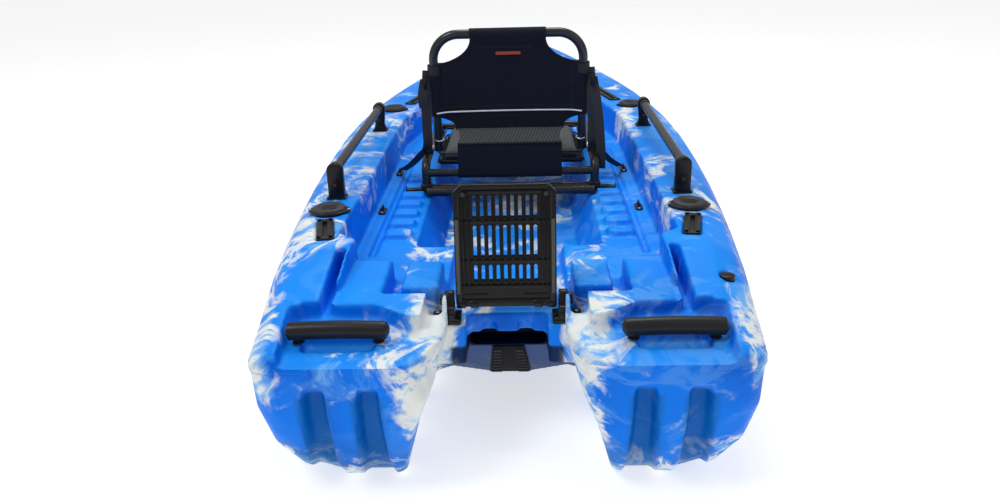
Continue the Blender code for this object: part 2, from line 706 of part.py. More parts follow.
def make_foot_braces():
    """Sliding foot braces on tracks along the ledges at the front of the well."""
    aft, fore = LENGTH - WELL_FORE_GAP - 0.60, LENGTH - WELL_FORE_GAP - 0.27
    for side, label in ((-1, "left"), (1, "right")):
        ends = [Vector((side * 0.224, at(aft), 0)), Vector((side * 0.156, at(fore), 0))]
        along = (ends[1] - ends[0]).normalized()
        across = Vector((along.y, -along.x, 0)) * 0.010
        base = LEDGE_HEIGHT + CLEAR
        def bar(grow):
            return [(p.x, p.y) for p in (ends[0] - across * grow, ends[0] + across * grow,
                                         ends[1] + across * grow, ends[1] - across * grow)]
        track = solid("foot_track_" + label, prism(bar(1.0), "z", base, base + 0.012))
        dress(track, BLACK, 0.4)
        middle = ends[0] + (ends[1] - ends[0]) * 0.45
        face = sorted((side * -0.070, side * 0.004))
        pedal = solid("foot_brace_" + label, block(face, (-0.012, 0.012), (0.0, 0.090), 0.005))
        join(pedal, block(sorted((side * -0.012, side * 0.005)), (-0.010, 0.060), (0.0, 0.014), 0.002))
        pedal.data.transform(Matrix.Translation((middle.x, middle.y, base + 0.012 + CLEAR)))
        dress(pedal, BLACK, 0.5)


def make_strap_anchors():
    for side, label in ((-1, "left"), (1, "right")):
        for d, place in ((0.749, "aft"), (1.060, "fore")):
            x = side * 0.302
            base = LEDGE_HEIGHT + CLEAR
            anchor = solid("pad_eye_{}_{}".format(place, label),
                           block((x - 0.009, x + 0.009), (at(d) - 0.022, at(d) + 0.022),
                                 (base, base + 0.005), 0.0015))
            arch = [(x, at(d) - 0.012, base + 0.002), (x, at(d) - 0.010, base + 0.014),
                    (x, at(d) + 0.010, base + 0.014), (x, at(d) + 0.012, base + 0.002)]
            join(anchor, tube(rounded_path(arch, 0.006, 3), 0.0028, 8))
            dress(anchor, BLACK, 0.4)


def make_plug():
    """The drain plug in the starboard pontoon's shoulder."""
    (x, y), seat = plug_seat()
    plug = solid("drain_plug", disc(PLUG_RADIUS, seat + CLEAR, seat + 0.014, (x, y), 16))
    dress(plug, BLACK, 0.5)


# The stern gate.

def make_gate():
    """A slotted plate that stands on its hinge and folds aft over the notch."""
    w = GATE_WIDTH / 2
    chamfer = 0.014
    foot = -0.006
    outline = [(-w, foot), (w, foot), (w, GATE_HEIGHT - chamfer), (w - chamfer, GATE_HEIGHT),
               (-w + chamfer, GATE_HEIGHT), (-w, GATE_HEIGHT - chamfer)]
    t = GATE_THICKNESS / 2
    gate = solid("stern_gate", prism(outline, "y", -t, t))
    wall = 0.010
    join(gate, block((-w + chamfer, w - chamfer), (-GATE_FLANGE / 2, GATE_FLANGE / 2),
                     (GATE_HEIGHT - wall, GATE_HEIGHT + 0.001), 0.003))
    for side in (-1, 1):
        x = sorted((side * (w - wall), side * w))
        join(gate, block(x, (-0.002, GATE_FLANGE / 2), (0.030, GATE_HEIGHT - chamfer), 0.002))
    for column in range(SLOT_COLUMNS):
        x = (column - (SLOT_COLUMNS - 1) / 2) * SLOT_PITCH
        for low, high in SLOT_ROWS:
            cut(gate, block((x - SLOT_WIDTH / 2, x + SLOT_WIDTH / 2), (-0.05, 0.05), (low, high)))
    gate.rotation_euler.x = -math.radians(GATE_LEAN)
    gate.location = (0.0, at(GATE_PIVOT_AT), GATE_PIVOT_HEIGHT)
    dress(gate, BLACK, 0.4)


def make_gate_brackets():
    """Hinge brackets on the shelves beside the transom, each with a pin's boss."""
    base = SHELF_HEIGHT + CLEAR
    y = at(GATE_PIVOT_AT)
    for side, label in ((-1, "left"), (1, "right")):
        inner = GATE_WIDTH / 2 + 0.003
        outer = NOTCH_HALF_WIDTH + 0.030
        bracket = solid("gate_bracket_" + label,
                        block(sorted((side * (NOTCH_HALF_WIDTH - 0.024 + 0.003), side * outer)),
                              (at(NOTCH_DEPTH) - 0.046, at(NOTCH_DEPTH) - 0.0045),
                              (base, base + 0.008), 0.002))
        cheek = [(y - 0.018, base + 0.004), (y + 0.020, base + 0.004), (y + 0.012, GATE_PIVOT_HEIGHT),
                 (y + 0.004, GATE_PIVOT_HEIGHT + 0.012), (y - 0.006, GATE_PIVOT_HEIGHT + 0.012),
                 (y - 0.013, GATE_PIVOT_HEIGHT)]
        join(bracket, prism(cheek, "x", *sorted((side * inner, side * (inner + 0.016)))))
        dress(bracket, BLACK, 0.45)


def make_skid_plate():
    """A ribbed wear plate on the raked stern of the centre keel."""
    def rake_point(height):
        share = (height - RAKE_FOOT) / (UNDERCUT_TOP - RAKE_FOOT)
        return Vector((0, at(RAKE_FOOT_AT + (RAKE_TOP_AT - RAKE_FOOT_AT) * share), height))

    low, high = rake_point(0.030), rake_point(0.148)
    slope = (high - low).normalized()
    out = Vector((0, -slope.z, slope.y)) * -1
    if out.y > 0:
        out = -out
    rings = []
    for lift in (0.0015, 0.0085):
        rings.append([
            low + out * lift + Vector((-0.042, 0, 0)), low + out * lift + Vector((0.042, 0, 0)),
            high + out * lift + Vector((0.030, 0, 0)), high + out * lift + Vector((-0.030, 0, 0))])
    dress(solid("skid_plate", skin(rings)), BLACK, 0.5)


# The seat.

def make_seat_frame():
    """Two arched side tubes on crossbars that rest on the ledges, with a bar between the legs."""
    r = SEAT_TUBE
    bar_z = LEDGE_HEIGHT + CLEAR + r * 1.06
    frame = solid("seat_base_frame", tube([(-CROSSBAR_HALF, at(SEAT_AFT_AT), bar_z),
                                           (CROSSBAR_HALF, at(SEAT_AFT_AT), bar_z)], r))
    join(frame, tube([(-CROSSBAR_HALF, at(SEAT_FORE_AT), bar_z),
                      (CROSSBAR_HALF, at(SEAT_FORE_AT), bar_z)], r))
    brace_at = SEAT_AFT_AT - BRACE_SPACING
    brace_half = TOOTH_INNER - 0.004
    join(frame, tube([(-brace_half, at(brace_at), bar_z), (brace_half, at(brace_at), bar_z)], r))
    for side in (-1, 1):
        x = side * SEAT_X
        gusset = sorted((side * (brace_half - 0.030), side * (brace_half - 0.010)))
        join(frame, block(gusset, (at(brace_at), at(SEAT_AFT_AT)), (bar_z - 0.006, bar_z + 0.006)))
        arch = rounded_path([(x, at(SEAT_AFT_AT), bar_z), (x, at(SEAT_AFT_AT), SEAT_RAIL_HEIGHT),
                             (x, at(SEAT_FORE_AT), SEAT_RAIL_HEIGHT), (x, at(SEAT_FORE_AT), bar_z)],
                            0.030)
        join(frame, tube(arch, r * 0.98))
    join(frame, tube([(-SEAT_X, at(SEAT_AFT_AT), SEAT_MID_BAR_HEIGHT),
                      (SEAT_X, at(SEAT_AFT_AT), SEAT_MID_BAR_HEIGHT)], r * 0.9))
    for side in (-1, 1):
        x = sorted((side * (SEAT_X - 0.010), side * (SEAT_X + 0.004)))
        join(frame, block(x, (at(BACK_PIVOT_AT) - 0.016, at(BACK_PIVOT_AT) + 0.016),
                          (SEAT_RAIL_HEIGHT, BACK_PIVOT_HEIGHT + 0.014), 0.003))
    dress(frame, BLACK, 0.35, 0.4)


def make_cushion():
    half = SEAT_X - SEAT_TUBE - 0.007
    cushion = solid("seat_cushion", block(
        (-half, half), (at(SEAT_AFT_AT + 0.120), at(SEAT_FORE_AT) - 0.016),
        (CUSHION_TOP - CUSHION_THICKNESS, CUSHION_TOP), 0.010, 2))
    dress(cushion, GREY, 0.9)


def lean_back(item):
    item.rotation_euler.x = math.radians(BACK_LEAN)
    item.location = (0.0, at(BACK_PIVOT_AT), BACK_PIVOT_HEIGHT)


def make_seat_back():
    """The folding back: a bent tube, its fabric panel, and the bolts that it turns on."""
    x = BACK_X
    path = rounded_path([(-x, 0, -0.004), (-x, 0, BACK_HEIGHT), (x, 0, BACK_HEIGHT), (x, 0, -0.004)],
                        BACK_CORNER, 5)
    frame = solid("seat_back_frame", tube(path, SEAT_TUBE))
    lean_back(frame)
    dress(frame, BLACK, 0.35, 0.4)

    inner = x - SEAT_TUBE - 0.004
    scoop_x, scoop_z = 0.092, BACK_HEIGHT - 0.060
    half = [(0.132, 0.050), (0.138, 0.075), (inner, 0.086), (inner, scoop_z - 0.006),
            (scoop_x + 0.018, scoop_z + 0.010), (scoop_x, BACK_HEIGHT - SEAT_TUBE - 0.004)]
    outline = half + [(-a, b) for a, b in reversed(half)]
    t = PANEL_THICKNESS / 2
    panel = solid("seat_back_panel", prism(outline, "y", -t, t))
    lean_back(panel)
    dress(panel, NAVY, 0.85)

    for side, label in ((-1, "left"), (1, "right")):
        start = side * (BACK_X + SEAT_TUBE + 0.001)
        end = side * (SEAT_X - 0.0106)
        bolt = solid("seat_pivot_" + label, tube([(start, 0, 0), (end, 0, 0)], 0.006, 12))
        lean_back(bolt)
        dress(bolt, CHARCOAL, 0.3, 0.8)


def make_apron():
    """The fabric below the back, between its lower edge and the bar at the legs."""
    y = at(SEAT_AFT_AT) + 0.032
    low = SEAT_MID_BAR_HEIGHT + 0.004
    apron = solid("seat_apron", block((-0.130, 0.130), (y, y + 0.010), (low, 0.376), 0.002))
    dress(apron, NAVY, 0.85)


def make_straps():
    """Webbing from the back's upper sides down to the pad eyes on the ledges."""
    for side, label in ((-1, "left"), (1, "right")):
        half_width, half_thick = STRAP_WIDTH / 2, 0.0015
        rings = []
        for x, d, z in ((0.212, 0.930, 0.560), (0.226, 0.955, 0.450), (0.240, 0.985, 0.330),
                        (0.288, 1.036, 0.264)):
            point = Vector((side * x, at(d), z))
            rings.append([point + Vector((a * half_width, b * half_thick, 0))
                          for a, b in ((-1, -1), (1, -1), (1, 1), (-1, 1))])
        strap = solid("seat_strap_" + label, skin(rings))
        dress(strap, BLACK, 0.9)


def main():
    clear_scene()
    make_hull()
    make_handles()
    make_grab_rails()
    make_rod_holders()
    make_gear_tracks()
    make_hatch()
    make_foot_braces()
    make_strap_anchors()
    make_plug()
    make_gate()
    make_gate_brackets()
    make_skid_plate()
    make_seat_frame()
    make_cushion()
    make_seat_back()
    make_apron()
    make_straps()


main()
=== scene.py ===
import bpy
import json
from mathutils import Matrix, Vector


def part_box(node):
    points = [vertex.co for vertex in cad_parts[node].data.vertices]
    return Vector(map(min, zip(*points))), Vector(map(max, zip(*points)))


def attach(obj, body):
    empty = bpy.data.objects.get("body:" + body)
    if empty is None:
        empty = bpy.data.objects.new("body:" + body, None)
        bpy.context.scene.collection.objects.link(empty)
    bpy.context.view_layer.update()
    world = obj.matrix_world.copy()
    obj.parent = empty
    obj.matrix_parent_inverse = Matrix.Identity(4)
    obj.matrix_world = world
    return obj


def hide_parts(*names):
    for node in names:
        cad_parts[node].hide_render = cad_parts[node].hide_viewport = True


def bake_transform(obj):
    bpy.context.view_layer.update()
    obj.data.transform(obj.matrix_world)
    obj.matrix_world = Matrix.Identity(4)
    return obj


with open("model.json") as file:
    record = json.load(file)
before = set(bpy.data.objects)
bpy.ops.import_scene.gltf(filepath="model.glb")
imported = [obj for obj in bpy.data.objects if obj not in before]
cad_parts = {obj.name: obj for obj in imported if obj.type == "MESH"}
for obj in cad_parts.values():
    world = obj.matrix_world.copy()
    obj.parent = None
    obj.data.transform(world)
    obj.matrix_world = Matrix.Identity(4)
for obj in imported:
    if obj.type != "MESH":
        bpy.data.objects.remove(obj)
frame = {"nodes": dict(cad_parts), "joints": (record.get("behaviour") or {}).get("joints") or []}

"""The finished look of a twin-stern fishing kayak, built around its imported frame.

Each sub-assembly is a class that holds its sizes, builds its meshes and dresses them. Each
finish is a small frozen class that makes one procedural material. Lengths are in metres, +Y
points to the bow, +X to starboard and +Z up.
"""

import json
import logging
import math
from dataclasses import dataclass, field
from enum import Enum
from typing import Callable, Iterable, Sequence

import bmesh
import bpy
from mathutils import Matrix, Vector, noise

log = logging.getLogger("kayak")

Point = tuple[float, float, float]
Pair = tuple[float, float]
Colour = tuple[float, float, float]


class Side(Enum):
    """Port or starboard, with its label in the frame's names and its sign along X."""

    LEFT = ("left", -1)
    RIGHT = ("right", 1)

    @property
    def label(self) -> str:
        """The word that ends the names of this side's nodes."""
        return self.value[0]

    @property
    def sign(self) -> int:
        """Which way this side lies along X."""
        return self.value[1]


class Body(Enum):
    """The bodies of the frame that pieces ride on."""

    ROOT = "root"
    GATE = "stern_gate"
    BACK = "seat_back"
    LID = "bow_hatch_lid"


# Shader graphs.


class Value:
    """A number or a socket in a shader graph, with Python's operators on it."""

    def __init__(self, graph: "Graph", source: object) -> None:
        """Wraps a socket or a plain number.

        Args:
            graph: The graph that new nodes are added to.
            source: An output socket, or a number.
        """
        self.graph = graph
        self.source = source

    def _math(self, operation: str, *others: object) -> "Value":
        """Adds a Math node on this value and the others.

        Args:
            operation: The Math node's operation.
            others: Values, sockets or numbers for its other inputs.

        Returns:
            The node's result.
        """
        inputs = {0: self, **{i + 1: other for i, other in enumerate(others)}}
        node = self.graph.add("Math", {"operation": operation}, inputs)
        return Value(self.graph, node.outputs[0])

    def __add__(self, other: object) -> "Value":
        """Sum."""
        return self._math("ADD", other)

    def __radd__(self, other: object) -> "Value":
        """Sum, with the number first."""
        return self._math("ADD", other)

    def __sub__(self, other: object) -> "Value":
        """Difference."""
        return self._math("SUBTRACT", other)

    def __rsub__(self, other: object) -> "Value":
        """Difference, with the number first."""
        return Value(self.graph, other)._math("SUBTRACT", self)

    def __mul__(self, other: object) -> "Value":
        """Product."""
        return self._math("MULTIPLY", other)

    def __rmul__(self, other: object) -> "Value":
        """Product, with the number first."""
        return self._math("MULTIPLY", other)

    def __abs__(self) -> "Value":
        """Size without sign."""
        return self._math("ABSOLUTE")

    def sine(self) -> "Value":
        """Sine of this value, in radians."""
        return self._math("SINE")

    def most(self, other: object) -> "Value":
        """The larger of two values."""
        return self._math("MAXIMUM", other)

    def rise(self, low: float, high: float) -> "Value":
        """A smooth step.

        Args:
            low: The value where the step starts, at 0.
            high: The value where it ends, at 1. It may be below low, for a fall.

        Returns:
            A value from 0 to 1.
        """
        ends = {"From Min": low, "From Max": high, "Value": self}
        flip = low > high
        if flip:
            ends = {"From Min": high, "From Max": low, "Value": self}
        node = self.graph.add("MapRange", {"interpolation_type": "SMOOTHSTEP"}, ends)
        step = Value(self.graph, node.outputs[0])
        return 1 - step if flip else step


class Graph:
    """The node graph of one material, around its Principled shader."""

    def __init__(self, name: str) -> None:
        """Starts a material with a Principled shader.

        Args:
            name: The material's name.
        """
        self.material = bpy.data.materials.new(name)
        self.material.use_nodes = True
        self.tree = self.material.node_tree
        self.shader = self.tree.nodes["Principled BSDF"]
        self._place = None

    def add(self, kind: str, settings: dict | None = None,
            inputs: dict | None = None) -> bpy.types.Node:
        """Adds a node, sets it, and feeds its sockets.

        Args:
            kind: The node's type, without its ShaderNode prefix.
            settings: Properties, and stops for a colour ramp as (place, colour) pairs.
            inputs: Values, sockets or constants by socket name or number.

        Returns:
            The new node.
        """
        node = self.tree.nodes.new("ShaderNode" + kind)
        for key, setting in (settings or {}).items():
            if key != "stops":
                setattr(node, key, setting)
                continue
            ramp = node.color_ramp.elements
            while len(ramp) < len(setting):
                ramp.new(0.5)
            for stop, (place, colour) in zip(ramp, setting):
                stop.position = place
                stop.color = (*colour, 1.0)
        for key, given in (inputs or {}).items():
            self.feed(node.inputs[key], given)
        return node

    def feed(self, socket: bpy.types.NodeSocket, given: object) -> None:
        """Links a value to a socket, or sets it there.

        Args:
            socket: The input socket.
            given: A Value, an output socket or a constant.
        """
        if isinstance(given, Value):
            given = given.source
        if isinstance(given, bpy.types.NodeSocket):
            self.tree.links.new(given, socket)
        elif socket.type == "RGBA" and len(given) == 3:
            socket.default_value = (*given, 1.0)
        else:
            socket.default_value = given

    def place(self) -> bpy.types.NodeSocket:
        """Object coordinates, in metres."""
        if self._place is None:
            self._place = self.add("TexCoord").outputs["Object"]
        return self._place

    def axes(self) -> tuple[Value, Value, Value]:
        """Object coordinates as three values."""
        split = self.add("SeparateXYZ", None, {0: self.place()})
        return tuple(Value(self, split.outputs[i]) for i in range(3))

    def stretched(self, scale: Point, turn: Point = (0.0, 0.0, 0.0)) -> bpy.types.NodeSocket:
        """Object coordinates, scaled and turned by a Mapping node.

        Args:
            scale: The factor along each axis.
            turn: The rotation in radians.

        Returns:
            The mapped coordinates.
        """
        node = self.add("Mapping", None, {"Vector": self.place(), "Scale": scale, "Rotation": turn})
        return node.outputs[0]

    def noise(self, scale: float, detail: float = 2.0, rough: float = 0.5,
              where: bpy.types.NodeSocket | None = None, distortion: float = 0.0) -> Value:
        """Noise from 0 to 1.

        Args:
            scale: How many features there are in a metre.
            detail: The number of octaves.
            rough: How strong the finer octaves are.
            where: Its coordinates, or Object coordinates where none are given.
            distortion: How far it is bent.

        Returns:
            The noise.
        """
        node = self.add("TexNoise", None, {
            "Vector": where or self.place(), "Scale": scale, "Detail": detail,
            "Roughness": rough, "Distortion": distortion})
        return Value(self, node.outputs["Fac"])

    def mix(self, share: object, low: object, high: object) -> bpy.types.NodeSocket:
        """A colour between two.

        Args:
            share: 0 for the first colour, 1 for the second.
            low: The first colour.
            high: The second colour.

        Returns:
            The mixed colour.
        """
        node = self.add("Mix", {"data_type": "RGBA"}, {0: share, 6: low, 7: high})
        return node.outputs[2]

    def bump(self, height: object, depth: float, strength: float = 1.0,
             under: bpy.types.NodeSocket | None = None) -> bpy.types.NodeSocket:
        """A normal with relief.

        Args:
            height: The relief, from 0 to 1.
            depth: The relief's depth.
            strength: How much of it shows.
            under: A normal that it is added to.

        Returns:
            The normal.
        """
        inputs = {"Height": height, "Distance": depth, "Strength": strength}
        if under is not None:
            inputs["Normal"] = under
        return self.add("Bump", None, inputs).outputs[0]

    def finish(self, **sockets: object) -> bpy.types.Material:
        """Feeds the Principled shader.

        Args:
            sockets: Values by socket name, with _ for each space.

        Returns:
            The material.
        """
        for key, given in sockets.items():
            self.feed(self.shader.inputs[key.replace("_", " ")], given)
        return self.material


# Finishes.


@dataclass(frozen=True)
class Finish:
    """A finish, and the record's material slot that it belongs to."""

    name: str
    slot: str

    def build(self) -> bpy.types.Material:
        """Makes the material."""
        raise NotImplementedError


@dataclass(frozen=True)
class Moulded(Finish):
    """Injection-moulded plastic: fine spark grain, faint scuffs and slightly duller patches."""

    colour: Colour = (0.012, 0.012, 0.014)
    scuff: Colour = (0.050, 0.050, 0.053)
    roughness: float = 0.36
    grain: float = 1400.0
    relief: float = 0.00010

    def build(self) -> bpy.types.Material:
        """Makes the material."""
        graph = Graph(self.name)
        grain = graph.noise(self.grain, 2.0)
        broad = graph.noise(14.0, 3.0)
        scratch = graph.noise(60.0, 4.0, 0.6, graph.stretched((1.0, 0.14, 0.5), (0.3, 0.2, 0.5)))
        marks = scratch.rise(0.62, 0.74) * broad.rise(0.45, 0.65)
        colour = graph.mix(marks * 0.6 + broad * 0.12, self.colour, self.scuff)
        return graph.finish(
            Base_Color=colour,
            Roughness=self.roughness + (broad - 0.5) * 0.16 + marks * 0.12,
            Specular_IOR_Level=0.24, Normal=graph.bump(grain, self.relief, 0.55))


@dataclass(frozen=True)
class Coated(Finish):
    """Powder-coated or anodised tube: satin with a faint orange peel."""

    colour: Colour = (0.014, 0.014, 0.016)
    roughness: float = 0.27

    def build(self) -> bpy.types.Material:
        """Makes the material."""
        graph = Graph(self.name)
        peel = graph.noise(420.0, 2.0)
        rub = graph.noise(24.0, 4.0, 0.65)
        colour = graph.mix(rub.rise(0.60, 0.78) * 0.35, self.colour, (0.06, 0.06, 0.065))
        return graph.finish(
            Base_Color=colour, Specular_IOR_Level=0.42,
            Roughness=self.roughness + (rub - 0.5) * 0.20, Normal=graph.bump(peel, 0.00012, 0.5))


@dataclass(frozen=True)
class Steel(Finish):
    """Stainless steel, brushed round its fastenings."""

    def build(self) -> bpy.types.Material:
        """Makes the material."""
        graph = Graph(self.name)
        brush = graph.noise(900.0, 3.0, 0.6, graph.stretched((1.0, 0.08, 1.0)))
        stain = graph.noise(60.0, 3.0)
        return graph.finish(
            Base_Color=graph.mix(stain, (0.42, 0.42, 0.43), (0.62, 0.62, 0.64)), Metallic=1.0,
            Roughness=0.24 + brush * 0.18, Normal=graph.bump(brush, 0.00004, 0.6))


@dataclass(frozen=True)
class Rubber(Finish):
    """Dull moulded rubber with a dusty bloom."""

    def build(self) -> bpy.types.Material:
        """Makes the material."""
        graph = Graph(self.name)
        bloom = graph.noise(38.0, 5.0, 0.6)
        grain = graph.noise(1100.0, 2.0)
        return graph.finish(
            Base_Color=graph.mix(bloom.rise(0.4, 0.7), (0.020, 0.020, 0.021),
                                 (0.050, 0.050, 0.052)),
            Roughness=0.56 + bloom * 0.18, Normal=graph.bump(grain, 0.00012, 0.6))


@dataclass(frozen=True)
class Cloth(Finish):
    """Plain-woven cloth on Object coordinates, with slight slubs and creases."""

    colour: Colour = (0.004, 0.005, 0.010)
    thread: Colour = (0.013, 0.015, 0.026)
    pitch: float = 0.0011
    relief: float = 0.00018
    crease: float = 0.0016
    tilt: float = 0.0

    def build(self) -> bpy.types.Material:
        """Makes the material."""
        graph = Graph(self.name)
        turned = graph.stretched((1.0, 1.0, 1.0), (self.tilt, 0.0, 0.0))
        split = graph.add("SeparateXYZ", None, {0: turned})
        across, up = Value(graph, split.outputs[0]), Value(graph, split.outputs[2])
        along = Value(graph, split.outputs[1])
        turns = 2 * math.pi / self.pitch
        warp = (across * turns).sine()
        weft = ((up + along) * turns).sine()
        weave = (warp * weft) * 0.5 + 0.5
        slub = graph.noise(260.0, 3.0, 0.6, graph.stretched((0.2, 1.0, 1.0)))
        fold = graph.noise(9.0, 3.0, 0.55)
        colour = graph.mix(weave * 0.55 + slub * 0.35, self.colour, self.thread)
        relief = graph.bump(weave + slub * 0.5, self.relief, 0.7)
        material = graph.finish(
            Base_Color=colour, Roughness=0.80 + slub * 0.12, Specular_IOR_Level=0.12,
            Normal=graph.bump(fold, self.crease, 0.6, relief))
        graph.shader.inputs["Sheen Weight"].default_value = 0.08
        graph.shader.inputs["Sheen Roughness"].default_value = 0.5
        return material


@dataclass(frozen=True)
class OpenMesh(Finish):
    """Knitted spacer mesh with rows of hexagonal holes, staggered from row to row."""

    pitch: float = 0.0080
    colour: Colour = (0.045, 0.048, 0.056)
    light: Colour = (0.130, 0.135, 0.150)

    def build(self) -> bpy.types.Material:
        """Makes the material."""
        graph = Graph(self.name)
        across, along, up = graph.axes()
        turns = 2 * math.pi / self.pitch
        rise = up + along * 0.2
        rows = (rise * turns).sine()
        cells = (across * turns + rise * (turns / 2)).sine()
        holes = (rows * cells).rise(0.05, 0.55)
        strand = graph.noise(900.0, 2.0)
        return graph.finish(
            Base_Color=graph.mix(1 - holes, (0.002, 0.002, 0.003), graph.mix(
                strand, self.colour, self.light)),
            Alpha=1 - holes * 0.55, Roughness=0.62,
            Normal=graph.bump((1 - holes) + strand * 0.2, 0.0006, 0.8))


@dataclass(frozen=True)
class Padded(Finish):
    """Grey textured seat cloth, with a ribbed waffle and worn pile."""

    colour: Colour = (0.036, 0.038, 0.042)
    light: Colour = (0.115, 0.120, 0.128)
    pitch: float = 0.0042

    def build(self) -> bpy.types.Material:
        """Makes the material."""
        graph = Graph(self.name)
        across, along, up = graph.axes()
        turns = 2 * math.pi / self.pitch
        waffle = ((across * turns).sine() * ((along + up) * turns).sine()) * 0.5 + 0.5
        pile = graph.noise(700.0, 4.0, 0.7)
        wear = graph.noise(16.0, 3.0)
        return graph.finish(
            Base_Color=graph.mix(waffle * 0.5 + pile * 0.4 + (wear - 0.5) * 0.3,
                                 self.colour, self.light),
            Roughness=0.86 + pile * 0.08, Normal=graph.bump(waffle + pile * 0.6, 0.0005, 0.8))


@dataclass(frozen=True)
class Webbing(Finish):
    """Flat nylon webbing: fine ribs across and a smooth selvedge."""

    colour: Colour = (0.009, 0.009, 0.011)
    pitch: float = 0.0016

    def build(self) -> bpy.types.Material:
        """Makes the material."""
        graph = Graph(self.name)
        along = Value(graph, graph.add("SeparateXYZ", None, {
            0: graph.add("UVMap", {"uv_map": "strap"}).outputs[0]}).outputs[1])
        rib = (along * (2 * math.pi / self.pitch)).sine() * 0.5 + 0.5
        fuzz = graph.noise(1500.0, 2.0)
        return graph.finish(
            Base_Color=graph.mix(rib * 0.6 + fuzz * 0.3, self.colour, (0.034, 0.034, 0.038)),
            Roughness=0.62 + fuzz * 0.2, Normal=graph.bump(rib + fuzz * 0.3, 0.0003, 0.8))


@dataclass(frozen=True)
class Piping(Finish):
    """Pale or dark piping cord with a fine twist."""

    colour: Colour = (0.70, 0.72, 0.74)

    def build(self) -> bpy.types.Material:
        """Makes the material."""
        graph = Graph(self.name)
        twist = graph.noise(1300.0, 2.0, 0.6, graph.stretched((0.3, 1.0, 1.0)))
        dark = tuple(0.6 * part for part in self.colour)
        return graph.finish(
            Base_Color=graph.mix(twist, dark, self.colour), Roughness=0.72,
            Normal=graph.bump(twist, 0.0002, 0.7))


